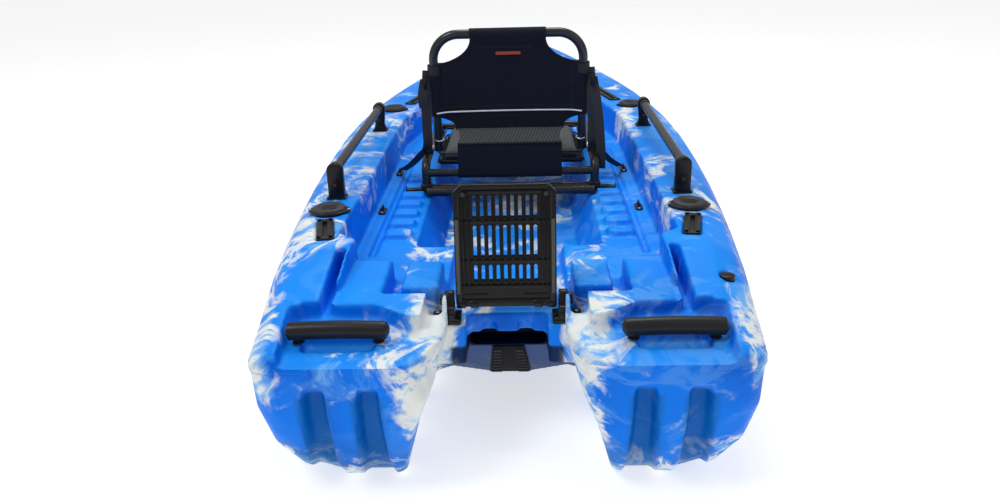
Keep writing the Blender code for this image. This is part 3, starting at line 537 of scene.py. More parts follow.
@dataclass(frozen=True)
class Marbled(Finish):
    """Rotomoulded polyethylene: solid azure with ragged white patches and fine flow lines.

    The white gathers on the pontoons' inner flares and outer shoulders, and low on the hull,
    which turns darker teal towards the bottom. A painted highlight lightens up-facing surfaces,
    and painted shade darkens the flutes, the tunnel under the stern and the undercut below the
    transom.
    """

    deep: Colour = (0.000, 0.110, 0.640)
    azure: Colour = (0.000, 0.190, 0.860)
    # Lighter blue for random cloud patches, and for the painted sky highlight on up-facing
    # surfaces.
    bright: Colour = (0.010, 0.330, 1.000)
    pale: Colour = (0.300, 0.650, 0.910)
    white: Colour = (0.830, 0.850, 0.800)
    teal: Colour = (0.000, 0.120, 0.380)
    seam: float = 0.2405
    stern: float = -1.6

    def flow(self, graph: Graph, scale: Point, turn: Point, warp: float, fine: float) -> Value:
        """Thin flow lines, as pigment leaves them.

        Args:
            graph: The material's graph.
            scale: The stretch of the flow along each axis.
            turn: The flow's direction.
            warp: How far the flow is bent.
            fine: The detail of the lines.

        Returns:
            1 on a line, falling to 0 between lines.
        """
        bend = graph.add("TexNoise", None, {
            "Vector": graph.place(), "Scale": 3.1, "Detail": 2.0, "Roughness": 0.5})
        shift = graph.add("VectorMath", {"operation": "SUBTRACT"},
                          {0: bend.outputs["Color"], 1: (0.5, 0.5, 0.5)})
        spread = graph.add("VectorMath", {"operation": "SCALE"},
                           {0: shift.outputs[0], "Scale": warp})
        moved = graph.add("VectorMath", {"operation": "ADD"},
                          {0: graph.stretched(scale, turn), 1: spread.outputs[0]})
        band = graph.noise(1.0, fine, 0.62, moved.outputs[0], 0.5)
        return 1 - abs(band - 0.5) * 2

    def build(self) -> bpy.types.Material:
        """Makes the material."""
        graph = Graph(self.name)
        across, along, up = graph.axes()
        outward = abs(across)
        facing = graph.add("SeparateXYZ", None, {0: graph.add("TexCoord").outputs["Normal"]})
        level = Value(graph, facing.outputs[2])
        flat = level.rise(0.55, 0.92)
        aft = along.rise(self.stern + 0.34, self.stern + 0.12)
        inner = outward.rise(0.20, 0.135) * outward.rise(0.075, 0.10) * aft * up.rise(0.08, 0.12)
        shoulder = outward.rise(0.345, 0.400) * aft * up.rise(0.17, 0.24)
        low = up.rise(0.125, 0.055)
        deck = outward.rise(0.26, 0.33) * up.rise(0.24, 0.29) * (1 - aft)
        floor = outward.rise(0.24, 0.18) * flat
        lines = self.flow(graph, (9.0, 5.0, 11.0), (0.5, 0.3, 0.6), 4.2, 6.0)
        sheets = self.flow(graph, (3.6, 2.0, 5.0), (0.2, 0.5, -0.5), 2.6, 8.0)
        patch = graph.noise(5.2, 6.0, 0.62, None, 0.8)
        zone = (inner * 0.78).most(shoulder * 0.66).most(low * 0.50)
        zone = zone.most(deck * 0.34).most(floor * 0.32)
        amount = zone + (patch - 0.5) * 2.3 + (sheets - 0.80) * 0.5 - 0.06
        solid = amount.rise(0.60, 0.78)
        rim = amount.rise(0.40, 0.62)
        streak = lines.rise(0.86, 0.975) * amount.rise(0.18, 0.55)
        cloud = graph.noise(3.0, 5.0, 0.55, None, 0.5)
        veins = sheets.rise(0.90, 0.985) * graph.noise(1.9, 2.0).rise(0.42, 0.62)
        base = graph.mix(cloud.rise(0.36, 0.52), self.deep, self.azure)
        # Painted highlight: up-facing surfaces are mixed towards the lighter blue as a painted sky
        # reflection; random cloud patches lighten it too.
        base = graph.mix(flat * 0.55 + cloud.rise(0.52, 0.72) * 0.35, base, self.bright)
        base = graph.mix(low * cloud.rise(0.62, 0.40) * 0.85, base, self.teal)
        base = graph.mix(veins * 0.16, base, self.pale)
        base = graph.mix(rim * 0.45, base, self.pale)
        base = graph.mix(streak.most(solid) * (0.62 + lines * 0.36), base, self.white)
        upright = abs(level).rise(0.75, 0.45)
        seam = abs(up - self.seam).rise(0.0018, 0.0004) * upright * outward.rise(0.30, 0.34)
        peel = graph.noise(190.0, 3.0, 0.55)
        pore = graph.noise(900.0, 2.0)
        base = graph.mix(seam * 0.35, base, self.deep)
        # Painted shade: the raked keel stern under the tunnel between the pontoons is darkened to
        # deep navy.
        tunnel_shade = outward.rise(0.150, 0.120) * up.rise(0.166, 0.152) * along.rise(self.stern + 0.15,
                                                                                 self.stern + 0.19)
        tunnel_shade = tunnel_shade * along.rise(self.stern + 0.60, self.stern + 0.50)
        base = graph.mix(tunnel_shade * 0.92, base, (0.000, 0.034, 0.140))
        # Painted shadow: the undercut below the transom's overhang is painted near black, mixed in
        # below.
        hollow = outward.rise(0.104, 0.094) * up.rise(0.200, 0.192) * along.rise(self.stern + 0.14,
                                                                                 self.stern + 0.17)
        hollow = hollow * along.rise(self.stern + 0.46, self.stern + 0.42)
        # Painted shade: the flutes in the pontoons' stern faces are darkened towards teal, where
        # shade falls inside them.
        inner_flute, outer_flute = (abs(outward - centre).rise(0.032, 0.018)
                                    for centre in (0.219, 0.305))
        flute_shade = inner_flute.most(outer_flute) * up.rise(0.202,
                                                         0.190) * along.rise(self.stern + 0.15,
                                                                             self.stern + 0.11)
        base = graph.mix(flute_shade * 0.70, base, self.teal)
        # Painted shadow in the undercut below the transom.
        base = graph.mix(hollow * up.rise(0.140, 0.152) * 0.97, base, (0.001, 0.002, 0.006))
        relief = graph.bump(peel + pore * 0.3 - seam * 3.0, 0.0006, 0.5)
        return graph.finish(
            Base_Color=base, Roughness=0.34 + peel * 0.14 + streak * 0.06, Specular_IOR_Level=0.11,
            Normal=graph.bump(graph.noise(16.0, 2.0), 0.004, 0.3, relief))


@dataclass(frozen=True)
class Ground(Finish):
    """The plain pale floor."""

    colour: Colour = (0.62, 0.62, 0.62)
    glow: float = 0.62

    def build(self) -> bpy.types.Material:
        """Makes the material."""
        graph = Graph(self.name)
        return graph.finish(Base_Color=self.colour, Roughness=0.85,
                            Emission_Color=(1.0, 1.0, 1.0), Emission_Strength=self.glow)


# Shaping with mesh operators.


def rounded(corners: Sequence[Sequence[float]], radius: float, steps: int = 8) -> list[Vector]:
    """A path's corners turned into arcs.

    Args:
        corners: The path's corner points.
        radius: The arcs' radius.
        steps: The number of segments in each arc.

    Returns:
        The path's points.
    """
    points = [Vector(corners[0])]
    for before, corner, after in zip(corners, corners[1:], corners[2:]):
        here = Vector(corner)
        back = (Vector(before) - here).normalized()
        ahead = (Vector(after) - here).normalized()
        half = back.angle(ahead) / 2
        reach = radius / math.tan(half)
        centre = here + (back + ahead).normalized() * radius / math.sin(half)
        start = here + back * reach - centre
        sweep = start.angle(here + ahead * reach - centre)
        axis = start.cross(here + ahead * reach - centre).normalized()
        points += [centre + Matrix.Rotation(sweep * i / steps, 3, axis) @ start
                   for i in range(steps + 1)]
    return points + [Vector(corners[-1])]


def flowing(points: Sequence[Sequence[float]], steps: int = 8) -> list[Vector]:
    """A smooth curve through points.

    Args:
        points: The points that it passes through.
        steps: The number of segments between two points.

    Returns:
        The curve's points.
    """
    known = [Vector(p) for p in points]
    known = [2 * known[0] - known[1], *known, 2 * known[-1] - known[-2]]
    curve = []
    for a, b, c, d in zip(known, known[1:], known[2:], known[3:]):
        for i in range(steps):
            t = i / steps
            curve.append(0.5 * ((2 * b) + (c - a) * t + (2 * a - 5 * b + 4 * c - d) * t * t
                                + (3 * b - a - 3 * c + d) * t ** 3))
    return curve + [known[-2]]


def placed(centre: Sequence[float], turn: Sequence[float] = (0.0, 0.0, 0.0)) -> Matrix:
    """A frame at a point, turned about X, then Y, then Z.

    Args:
        centre: The frame's origin.
        turn: The three angles in degrees.

    Returns:
        The frame's matrix.
    """
    x, y, z = (math.radians(angle) for angle in turn)
    spin = (Matrix.Rotation(z, 4, "Z") @ Matrix.Rotation(y, 4, "Y") @ Matrix.Rotation(x, 4, "X"))
    return Matrix.Translation(Vector(centre)) @ spin


def pivot_of(joint: str) -> Vector:
    """Where a joint of the frame turns.

    Args:
        joint: The joint's name.

    Returns:
        Its pivot.
    """
    return Vector(next(j for j in frame["joints"] if j["name"] == joint)["pos_m"])


class Form:
    """A mesh being shaped with Blender's mesh operators."""

    def __init__(self) -> None:
        """Starts empty."""
        self.mesh = bmesh.new()

    def _soften(self, verts: Iterable[bmesh.types.BMVert], radius: float, segments: int,
                above: float = 25.0) -> None:
        """Bevels the sharp edges between some vertices.

        Args:
            verts: The vertices whose edges are bevelled.
            radius: The bevel's width, or 0 for none.
            segments: The bevel's segments.
            above: The least angle between two faces, in degrees, at an edge that is bevelled.
        """
        if radius <= 0:
            return
        chosen = set(verts)
        edges = {e for v in chosen for e in v.link_edges
                 if all(w in chosen for w in e.verts) and len(e.link_faces) == 2
                 and e.calc_face_angle() > math.radians(above)}
        bmesh.ops.bevel(self.mesh, geom=list(edges), offset=radius, segments=segments,
                        profile=0.5, affect="EDGES", material=-1, clamp_overlap=True)

    def box(self, low: Sequence[float], high: Sequence[float], radius: float = 0.0,
            segments: int = 2, frame_matrix: Matrix | None = None) -> None:
        """A box between two corners.

        Args:
            low: Its lowest corner, in the given frame.
            high: Its highest corner.
            radius: Its edges' radius.
            segments: The segments of each rounded edge.
            frame_matrix: The frame that the corners are given in.
        """
        low, high = Vector(low), Vector(high)
        size = Matrix.Diagonal((*(high - low), 1.0))
        matrix = (frame_matrix or Matrix()) @ Matrix.Translation((low + high) / 2) @ size
        made = bmesh.ops.create_cube(self.mesh, size=1.0, matrix=matrix)["verts"]
        self._soften(made, radius, segments)

    def drum(self, matrix: Matrix, radius: float, depth: float, bevel: float = 0.0,
             sides: int = 32, radius_top: float | None = None, squash: float = 1.0) -> None:
        """A round bar or disc that stands on the XY plane of a frame.

        Args:
            matrix: Its frame, at the centre of its foot.
            radius: Its radius at the foot.
            depth: Its length along the frame's Z.
            bevel: Its rims' radius.
            sides: The number of its sides.
            radius_top: Its radius at the top, where it tapers.
            squash: Its width along the frame's Y, as a share of that along X.
        """
        shape = matrix @ Matrix.Diagonal((1.0, squash, 1.0, 1.0)) @ Matrix.Translation((0, 0,
                                                                                        depth / 2))
        made = bmesh.ops.create_cone(
            self.mesh, cap_ends=True, segments=sides, radius1=radius,
            radius2=radius if radius_top is None else radius_top, depth=depth,
                                     matrix=shape)["verts"]
        self._soften(made, bevel, 2, 40.0)

    def ball(self, matrix: Matrix, radius: float, squash: float = 1.0) -> None:
        """A sphere, flattened along its frame's Z.

        Args:
            matrix: Its frame, at its centre.
            radius: Its radius.
            squash: Its height as a share of its width.
        """
        bmesh.ops.create_uvsphere(self.mesh, u_segments=20, v_segments=12, radius=radius,
                                  matrix=matrix @ Matrix.Diagonal((1.0, 1.0, squash, 1.0)))

    def slab(self, outline: Sequence[Pair], depth: float, matrix: Matrix | None = None,
             bevel: float = 0.0, segments: int = 2, above: float = 25.0) -> None:
        """An outline in a frame's XY plane, extruded along its Z.

        Args:
            outline: The outline's points.
            depth: The length of the extrusion.
            matrix: The frame.
            bevel: The edges' radius.
            segments: The segments of each rounded edge.
            above: The least angle, in degrees, of an edge that is rounded.
        """
        matrix = matrix or Matrix()
        base = [self.mesh.verts.new(matrix @ Vector((a, b, 0.0))) for a, b in outline]
        face = self.mesh.faces.new(base)
        out = bmesh.ops.extrude_face_region(self.mesh, geom=[face])["geom"]
        top = [g for g in out if isinstance(g, bmesh.types.BMVert)]
        bmesh.ops.translate(self.mesh, verts=top, vec=matrix.to_3x3() @ Vector((0, 0, depth)))
        self._soften(base + top, bevel, segments, above)

    def sweep(self, path: Sequence[Sequence[float]], radius: float, sides: int = 20,
              widen: Callable[[float], float] | None = None, flat: Pair | None = None,
              up: Sequence[float] = (0.0, 0.0, 1.0), ring: bool = False) -> None:
        """A bar along a path: a round one, or a flat one such as a strap.

        Args:
            path: The path's points.
            radius: The bar's radius.
            sides: The number of its sides.
            widen: The bar's width as a share of the radius, by its place along the path.
            flat: The width and thickness of a flat bar, in place of the radius.
            up: The direction that a flat bar's width turns away from.
            ring: Whether the path closes on itself.
        """
        points = [Vector(p) for p in path]
        tangents = [(b - a).normalized() for a, b in zip(points, points[1:])]
        tangents = [tangents[0]] + [(a + b).normalized() for a, b in zip(tangents, tangents[1:])] \
            + [tangents[-1]]
        if ring:
            tangents[0] = tangents[-1] = (points[1] - points[-2]).normalized()
        across = tangents[0].cross(Vector(up))
        if across.length < 1e-4:
            across = tangents[0].cross(Vector((1.0, 0.0, 0.0)))
        frames = []
        for i, (point, along) in enumerate(zip(points, tangents)):
            across = (across - along * across.dot(along)).normalized()
            over = along.cross(across)
            size = widen(i / (len(points) - 1)) if widen else 1.0
            basis = Matrix((across * size, over * size, along)).transposed().to_4x4()
            frames.append(Matrix.Translation(point) @ basis)
        if flat:
            width, thick = flat
            half = Matrix.Diagonal((width, thick, 1.0, 1.0)) @ Matrix.Rotation(math.pi / 4, 4, "Z")
            start = bmesh.ops.create_circle(self.mesh, cap_ends=False, segments=4,
                                            radius=math.sqrt(0.5), matrix=frames[0] @ half)
        else:
            start = bmesh.ops.create_circle(self.mesh, cap_ends=False, segments=sides,
                                            radius=radius, matrix=frames[0])
        loop = list({e for v in start["verts"] for e in v.link_edges})
        first = loop
        for before, after in zip(frames, frames[1:]):
            out = bmesh.ops.extrude_edge_only(self.mesh, edges=loop)["geom"]
            verts = {g for g in out if isinstance(g, bmesh.types.BMVert)}
            loop = [g for g in out if isinstance(g, bmesh.types.BMEdge)
                    and all(v in verts for v in g.verts)]
            bmesh.ops.transform(self.mesh, matrix=after @ before.inverted(), verts=list(verts))
        if ring:
            bmesh.ops.bridge_loops(self.mesh, edges=first + loop)
            return
        for edges in (first, loop):
            bmesh.ops.contextual_create(self.mesh, geom=edges)

    def turned(self, profile: Sequence[Pair], matrix: Matrix, steps: int = 36) -> None:
        """A profile of (radius, height) pairs, spun round a frame's Z.

        Args:
            profile: The profile from the axis or a rim, outwards.
            matrix: The frame.
            steps: The number of segments round the axis.
        """
        verts = [self.mesh.verts.new(matrix @ Vector((r, 0.0, z))) for r, z in profile]
        edges = [self.mesh.edges.new(pair) for pair in zip(verts, verts[1:])]
        axis = matrix.to_3x3() @ Vector((0.0, 0.0, 1.0))
        made = bmesh.ops.spin(self.mesh, geom=verts + edges, cent=matrix.translation, axis=axis,
                              angle=2 * math.pi, steps=steps, use_merge=True)["geom_last"]
        near = {v for v in self.mesh.verts if v.is_boundary or v in made or v in verts}
        bmesh.ops.remove_doubles(self.mesh, verts=list(near), dist=1e-5)

    def lattice(self, xs: Sequence[float], ys: Sequence[float],
                holes: Callable[[float, float], bool], depth: float, matrix: Matrix) -> None:
        """A flat plate with rectangular holes.

        Args:
            xs: The places of its cuts along the frame's X, edges included.
            ys: The places of its cuts along the frame's Y, edges included.
            holes: Whether the cell around a point is open.
            depth: Its thickness along the frame's Z.
            matrix: The frame.
        """
        made = bmesh.ops.create_grid(self.mesh, x_segments=len(xs) - 1, y_segments=len(ys) - 1,
                                     size=0.5)["verts"]
        for vert in made:
            column = round((vert.co.x + 0.5) * (len(xs) - 1))
            row = round((vert.co.y + 0.5) * (len(ys) - 1))
            vert.co = Vector((xs[column], ys[row], 0.0))
        faces = list({f for v in made for f in v.link_faces})
        open_cells = [f for f in faces if holes(f.calc_center_median().x, f.calc_center_median().y)]
        kept = [f for f in faces if f not in set(open_cells)]
        bmesh.ops.delete(self.mesh, geom=open_cells, context="FACES")
        out = bmesh.ops.extrude_face_region(self.mesh, geom=kept, use_keep_orig=True)["geom"]
        top = [g for g in out if isinstance(g, bmesh.types.BMVert)]
        bmesh.ops.translate(self.mesh, verts=top, vec=(0.0, 0.0, depth))
        loose = [v for v in made if v.is_valid and not v.link_faces]
        bmesh.ops.delete(self.mesh, geom=loose, context="VERTS")
        verts = [v for v in made if v.is_valid] + top
        bmesh.ops.transform(self.mesh, matrix=matrix, verts=verts)

    def publish(self, name: str) -> bpy.types.Object:
        """Turns the shape into an object.

        Args:
            name: The object's name.

        Returns:
            The object, with its faces pointing out.
        """
        bmesh.ops.recalc_face_normals(self.mesh, faces=self.mesh.faces[:])
        mesh = bpy.data.meshes.new(name)
        self.mesh.to_mesh(mesh)
        self.mesh.free()
        piece = bpy.data.objects.new(name, mesh)
        bpy.context.scene.collection.objects.link(piece)
        return piece


@dataclass
class Finishes:
    """Every finish of the kayak, made once."""

    made: dict[str, bpy.types.Material] = field(default_factory=dict)

    hull: Finish = Marbled("hull_marbled", "hull_plastic")
    fitting: Finish = Moulded("fitting_black", "fittings")
    gloss: Finish = Moulded("gate_black", "fittings", (0.005, 0.005, 0.006), (0.024, 0.024, 0.026),
                            0.24, 900.0, 0.00006)
    charcoal: Finish = Moulded("charcoal_plastic", "fittings", (0.030, 0.031, 0.033),
                               (0.080, 0.080, 0.084), 0.44)
    dull: Finish = Moulded("dull_black", "fittings", (0.003, 0.003, 0.004), (0.016, 0.016, 0.018),
                           0.88)
    strip: Finish = Moulded("strip_grey_brown", "fittings", (0.075, 0.070, 0.064),
                            (0.140, 0.132, 0.120), 0.50)
    tube: Finish = Coated("tube_black", "tube")
    steel: Finish = Steel("stainless", "bolts")
    rubber: Finish = Rubber("rubber_black", "rubber_caps")
    cloth: Finish = Cloth("seat_cloth", "seat_fabric")
    open_mesh: Finish = OpenMesh("seat_mesh", "seat_fabric")
    pad: Finish = Padded("cushion_cloth", "cushion_fabric")
    webbing: Finish = Webbing("strap_webbing", "webbing")
    pale_piping: Finish = Piping("pale_piping", "seat_fabric", (0.94, 0.95, 0.96))
    label: Finish = Piping("label_thread", "seat_fabric", (0.480, 0.060, 0.025))
    dark_piping: Finish = Piping("dark_piping", "seat_fabric", (0.012, 0.012, 0.014))

    def material(self, finish: Finish) -> bpy.types.Material:
        """The material of a finish, made the first time that it is asked for."""
        if finish.name not in self.made:
            self.made[finish.name] = finish.build()
        return self.made[finish.name]


@dataclass
class Shop:
    """Where pieces are dressed, joined to their bodies and counted."""

    finishes: Finishes = field(default_factory=Finishes)
    pieces: list[str] = field(default_factory=list)

    def dress(self, piece: bpy.types.Object, finish: Finish, smooth: float = 35.0) -> None:
        """Gives a piece its material and shading.

        Args:
            piece: The piece.
            finish: Its finish.
            smooth: The angle in degrees past which an edge looks sharp.
        """
        piece.data.materials.clear()
        piece.data.materials.append(self.finishes.material(finish))
        piece.data.shade_smooth()
        piece.data.set_sharp_from_angle(angle=math.radians(smooth))

    def deliver(self, piece: bpy.types.Object, finish: Finish, replaces: Sequence[str] = (),
                body: Body | None = Body.ROOT, smooth: float = 35.0) -> bpy.types.Object:
        """Dresses a finished piece and joins it to its body.

        Args:
            piece: The piece, in place.
            finish: Its finish.
            replaces: The frame's nodes that it stands for.
            body: The body that it rides on, or None where it is blended.
            smooth: The angle in degrees past which an edge looks sharp.

        Returns:
            The piece.
        """
        self.dress(piece, finish, smooth)
        if body is not None:
            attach(piece, body.value)
        if replaces:
            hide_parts(*replaces)
        self.pieces.append(piece.name)
        log.info("%s: %d faces", piece.name, len(piece.data.polygons))
        return piece

    def make(self, form: Form, name: str, finish: str, replaces: Sequence[str] = (),
             body: Body | None = Body.ROOT, smooth: float = 35.0) -> bpy.types.Object:
        """Publishes a form and delivers it.

        Args:
            form: The shape.
            name: The piece's name.
            finish: The name of its finish among the finishes.
            replaces: The frame's nodes that it stands for.
            body: The body that it rides on, or None where it is blended.
            smooth: The angle in degrees past which an edge looks sharp.

        Returns:
            The piece.
        """
        return self.deliver(form.publish(name), getattr(self.finishes, finish), replaces, body,
                            smooth)


def settled(piece: bpy.types.Object) -> bpy.types.Object:
    """Applies a piece's modifiers to its mesh.

    Args:
        piece: The piece.

    Returns:
        The same piece.
    """
    graph = bpy.context.evaluated_depsgraph_get()
    mesh = bpy.data.meshes.new_from_object(piece.evaluated_get(graph))
    piece.modifiers.clear()
    piece.data = mesh
    return piece


# The hull.


@dataclass
class Hull:
    """The moulded hull: the frame's hull with the soft edges that rotomoulding leaves."""

    voxel: float = 0.0048
    soften: int = 3
    flute_centres: Pair = (0.219, 0.305)
    flute_half: float = 0.016
    flute_depth: float = 0.014
    flute_top: float = 0.203
    flute_reach: float = 0.16
    floor_half: float = 0.205
    steps: Pair = (0.56, 2.1)
    step_heights: Pair = (0.150, 0.236)
    step_pitch: float = 0.078
    step_slant: float = 0.45
    step_rise: float = 0.0055
    drain_at: float = 0.055
    drain_width: float = 0.010
    drain_depth: float = 0.005
    most_faces: int = 190_000

    def build(self, shop: Shop) -> None:
        """Builds the hull and joins it to its body.

        Args:
            shop: Where pieces are dressed and joined.
        """
        source = frame["nodes"]["hull"]
        form = Form()
        form.mesh.from_mesh(source.data)
        bmesh.ops.remove_doubles(form.mesh, verts=form.mesh.verts[:], dist=1e-5)
        hull = form.publish("moulded_hull")
        remesh = hull.modifiers.new("even", "REMESH")
        remesh.mode = "VOXEL"
        remesh.voxel_size = self.voxel
        smooth = hull.modifiers.new("soften", "SMOOTH")
        smooth.factor = 0.5
        smooth.iterations = self.soften
        settled(hull)
        self.crease_floor(hull)
        self.press_flutes(hull)
        share = self.most_faces / (2.0 * len(hull.data.polygons))
        if share < 1.0:
            thin = hull.modifiers.new("thin", "DECIMATE")
            thin.ratio = share
            settled(hull)
        shop.deliver(hull, shop.finishes.hull, ["hull"], smooth=48.0)

    def press_flutes(self, hull: bpy.types.Object) -> None:
        """Deepens the two flutes in each pontoon's stern face, which widen downwards.

        Args:
            hull: The hull, evenly meshed.
        """
        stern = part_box("hull")[0].y
        for vert in hull.data.vertices:
            x, y, z = vert.co
            d = y - stern
            if d > self.flute_reach or z > self.flute_top:
                continue
            half = self.flute_half + 0.010 * (1 - z / 0.2)
            near = min(abs(abs(x) - centre) for centre in self.flute_centres)
            across = min(1.0, max(0.0, (half + 0.004 - near) / 0.010))
            fade = min(1.0, (self.flute_top - z) / 0.012)
            fade *= min(1.0, (self.flute_reach - d) / 0.05)
            vert.co.y += self.flute_depth * across * across * (3 - 2 * across) * fade

    def crease_floor(self, hull: bpy.types.Object) -> None:
        """Presses slanting steps and drainage creases into the sunk floor.

        Args:
            hull: The hull, evenly meshed.
        """
        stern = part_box("hull")[0].y
        for vert in hull.data.vertices:
            x, y, z = vert.co
            d = y - stern
            start, end = self.steps
            low, high = self.step_heights
            if abs(x) > self.floor_half or not start < d < end or not low < z < high:
                continue
            side = max(0.0, 1.0 - abs(z - 0.172) / 0.05)
            edge = min(1.0, max(0.0, (0.190 - abs(x)) / 0.012)) * min(1.0, (d - start) / 0.03)
            ramp = ((d - self.step_slant * abs(x)) / self.step_pitch) % 1.0
            step = 1.0 - ramp if ramp > 0.10 else ramp * 9.0
            drain = math.exp(-((abs(x) - self.drain_at) / self.drain_width) ** 2)
            vert.co.z += edge * side * (self.step_rise * (step - 0.5) - self.drain_depth * drain)


# Deck fittings.


@dataclass
class CarryHandle:
    """A moulded carry handle: a thick bar with rounded ends and a raised pad, on two feet."""

    node: str
    radius: float = 0.0150
    foot_radius: float = 0.0070
    pad_radius: float = 0.0100
    foot_inset: float = 0.020
    foot_ahead: float = 0.0025
    bow_up: float = 0.0022

    def build(self, shop: Shop) -> None:
        """Builds the handle and joins it to its body."""
        low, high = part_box(self.node)
        middle = (low + high) / 2
        half = (high.x - low.x) / 2
        grip = high.z - self.radius - self.bow_up
        form = Form()
        path = [(middle.x - half + 0.001 + i * (2 * half - 0.002) / 32, middle.y,
                 grip + self.bow_up * math.cos((i / 16 - 1) * math.pi / 2)) for i in range(33)]

        def ends(place: float) -> float:
            """Rounds the bar's ends."""
            near = min(place, 1 - place) * 2 * half
            return min(1.0, math.sqrt(max(0.15, 1 - (1 - min(1.0, near / 0.007)) ** 2)))

        form.sweep(path, self.radius, 28, ends)
        for sign in (-1, 1):
            foot = placed((middle.x + sign * (half - self.foot_inset), middle.y + self.foot_ahead,
                           low.z))
            form.drum(foot, self.foot_radius, grip - low.z, 0.0, 20)
            form.drum(foot, self.pad_radius, 0.0026, 0.001, 24)
        shop.make(form, self.node + "_grip", "fitting", [self.node])


@dataclass
class GrabRail:
    """One side's grab rail: a tube with sleeves between two moulded posts."""

    side: Side
    collar: float = 0.0135

    def post(self, shop: Shop, place: str) -> None:
        """Builds one post as a plate with a rounded top, a foot and an oval recess."""
        node = f"rail_post_{place}_{self.side.label}"
        low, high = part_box(node)
        x, half = (low.x + high.x) / 2, (high.x - low.x) / 2
        crown = high.z - 0.017
        waist = half * (0.94 if place == "aft" else 0.70)
        arc = [(0.017 * math.cos(a), crown + 0.017 * math.sin(a))
               for a in (math.pi * i / 20 for i in range(21))]
        foot = [(half, low.z), (half, low.z + 0.004), (waist, low.z + 0.020)]
        outline = foot + arc + [(-a, b) for a, b in reversed(foot)]
        depth = high.y - low.y
        upright = Matrix(((1, 0, 0, x), (0, 0, -1, high.y), (0, 1, 0, 0), (0, 0, 0, 1)))
        form = Form()
        form.slab(outline, depth, upright, 0.0034, 3, 30.0)
        form.box((x - half - 0.003, low.y - 0.004, low.z),
                 (x + half + 0.003, high.y + 0.004, low.z + 0.005), 0.0022, 2)
        for y in (low.y - 0.0006, high.y - 0.0010):
            ring = [(x + 0.0042 * math.cos(a), y + 0.0008, low.z + 0.032 + 0.0085 * math.sin(a))
                    for a in (math.pi * i / 12 for i in range(25))]
            form.sweep(ring, 0.0012, 8, ring=True)
        shop.make(form, node + "_moulding", "gloss", [node])
        screw = Form()
        screw.drum(placed((x, low.y - 0.0002, low.z + 0.032), (90, 0, 0)), 0.0036, 0.0016, 0.0005,
                   20)
        shop.make(screw, node + "_screw", "charcoal")

    def build(self, shop: Shop) -> None:
        """Builds the rail, its collars and its posts."""
        node = "grab_rail_" + self.side.label
        low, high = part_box(node)
        middle = (low + high) / 2
        radius = (high.z - low.z) / 2
        form = Form()
        form.sweep([(middle.x, low.y + (high.y - low.y) * i / 24, middle.z) for i in range(25)],
                   radius * 0.985, 28)
        for y, ahead in ((low.y, 1), (high.y, -1)):
            form.drum(placed((middle.x, y, middle.z), (-90 * ahead, 0, 0)), self.collar, 0.016,
                      0.002, 32, self.collar * 0.93)
        shop.make(form, node + "_tube", "tube", [node])
        for place in ("aft", "fore"):
            self.post(shop, place)


@dataclass
class RodHolder:
    """A flush rod holder: a pointed-oval flange with screws, and a rubber cap with a tab."""

    side: Side
    place: str
    point: float = 0.0440

    def build(self, shop: Shop) -> None:
        """Builds the flange and the cap."""
        tail = f"{self.place}_{self.side.label}"
        low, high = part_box("rod_holder_" + tail)
        cap_low, cap_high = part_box("rod_cap_" + tail)
        centre = Vector(((low.x + high.x) / 2, (low.y + high.y) / 2, 0))
        deck = high.z - 0.006
        outline = []
        for i in range(64):
            a = 2 * math.pi * i / 64
            reach = 0.0345 + (self.point - 0.0345) * abs(math.cos(a)) ** 3
            outline.append((centre.x + reach * math.cos(a), centre.y + 0.0350 * math.sin(a)))
        form = Form()
        form.slab(outline, high.z - deck, Matrix.Translation((0, 0, deck)), 0.0022, 3, 40.0)
        form.drum(placed((centre.x, centre.y, low.z)), 0.0285, deck - low.z + 0.002, 0.0, 32)
        shop.make(form, "rod_flange_" + tail, "fitting", ["rod_holder_" + tail])
        cap = Form()
        top = cap_high.z
        profile = [(0.0001, top - 0.0026), (0.019, top - 0.0028), (0.0215, top - 0.0016),
                   (0.0235, top), (0.029, top), (0.0325, top - 0.0018), (0.0338, cap_low.z)]
        cap.turned([(r, z - cap_low.z) for r, z in profile + [(0.0001, cap_low.z)]],
                   placed((centre.x, centre.y, cap_low.z)), 40)
        for k in range(5):
            y = centre.y + (k - 2) * 0.0062
            reach = math.sqrt(max(0.0, 0.0175 ** 2 - ((k - 2) * 0.0062) ** 2))
            cap.box((centre.x - reach, y - 0.0009, top - 0.0030),
                    (centre.x + reach, y + 0.0009, top - 0.0014), 0.0005, 1)
        tab = centre.y + 0.033
        cap.box((centre.x - 0.008, tab - 0.006, cap_low.z),
                (centre.x + 0.008, tab + 0.0035, cap_low.z + 0.0032), 0.0014, 2)
        shop.make(cap, "rod_cap_rubber_" + tail, "rubber", ["rod_cap_" + tail])
        screws = Form()
        for sign in (-1, 1):
            screws.ball(placed((centre.x + sign * 0.0405, centre.y, high.z - 0.0004)), 0.0026, 0.5)
        shop.make(screws, "rod_screws_" + tail, "steel")


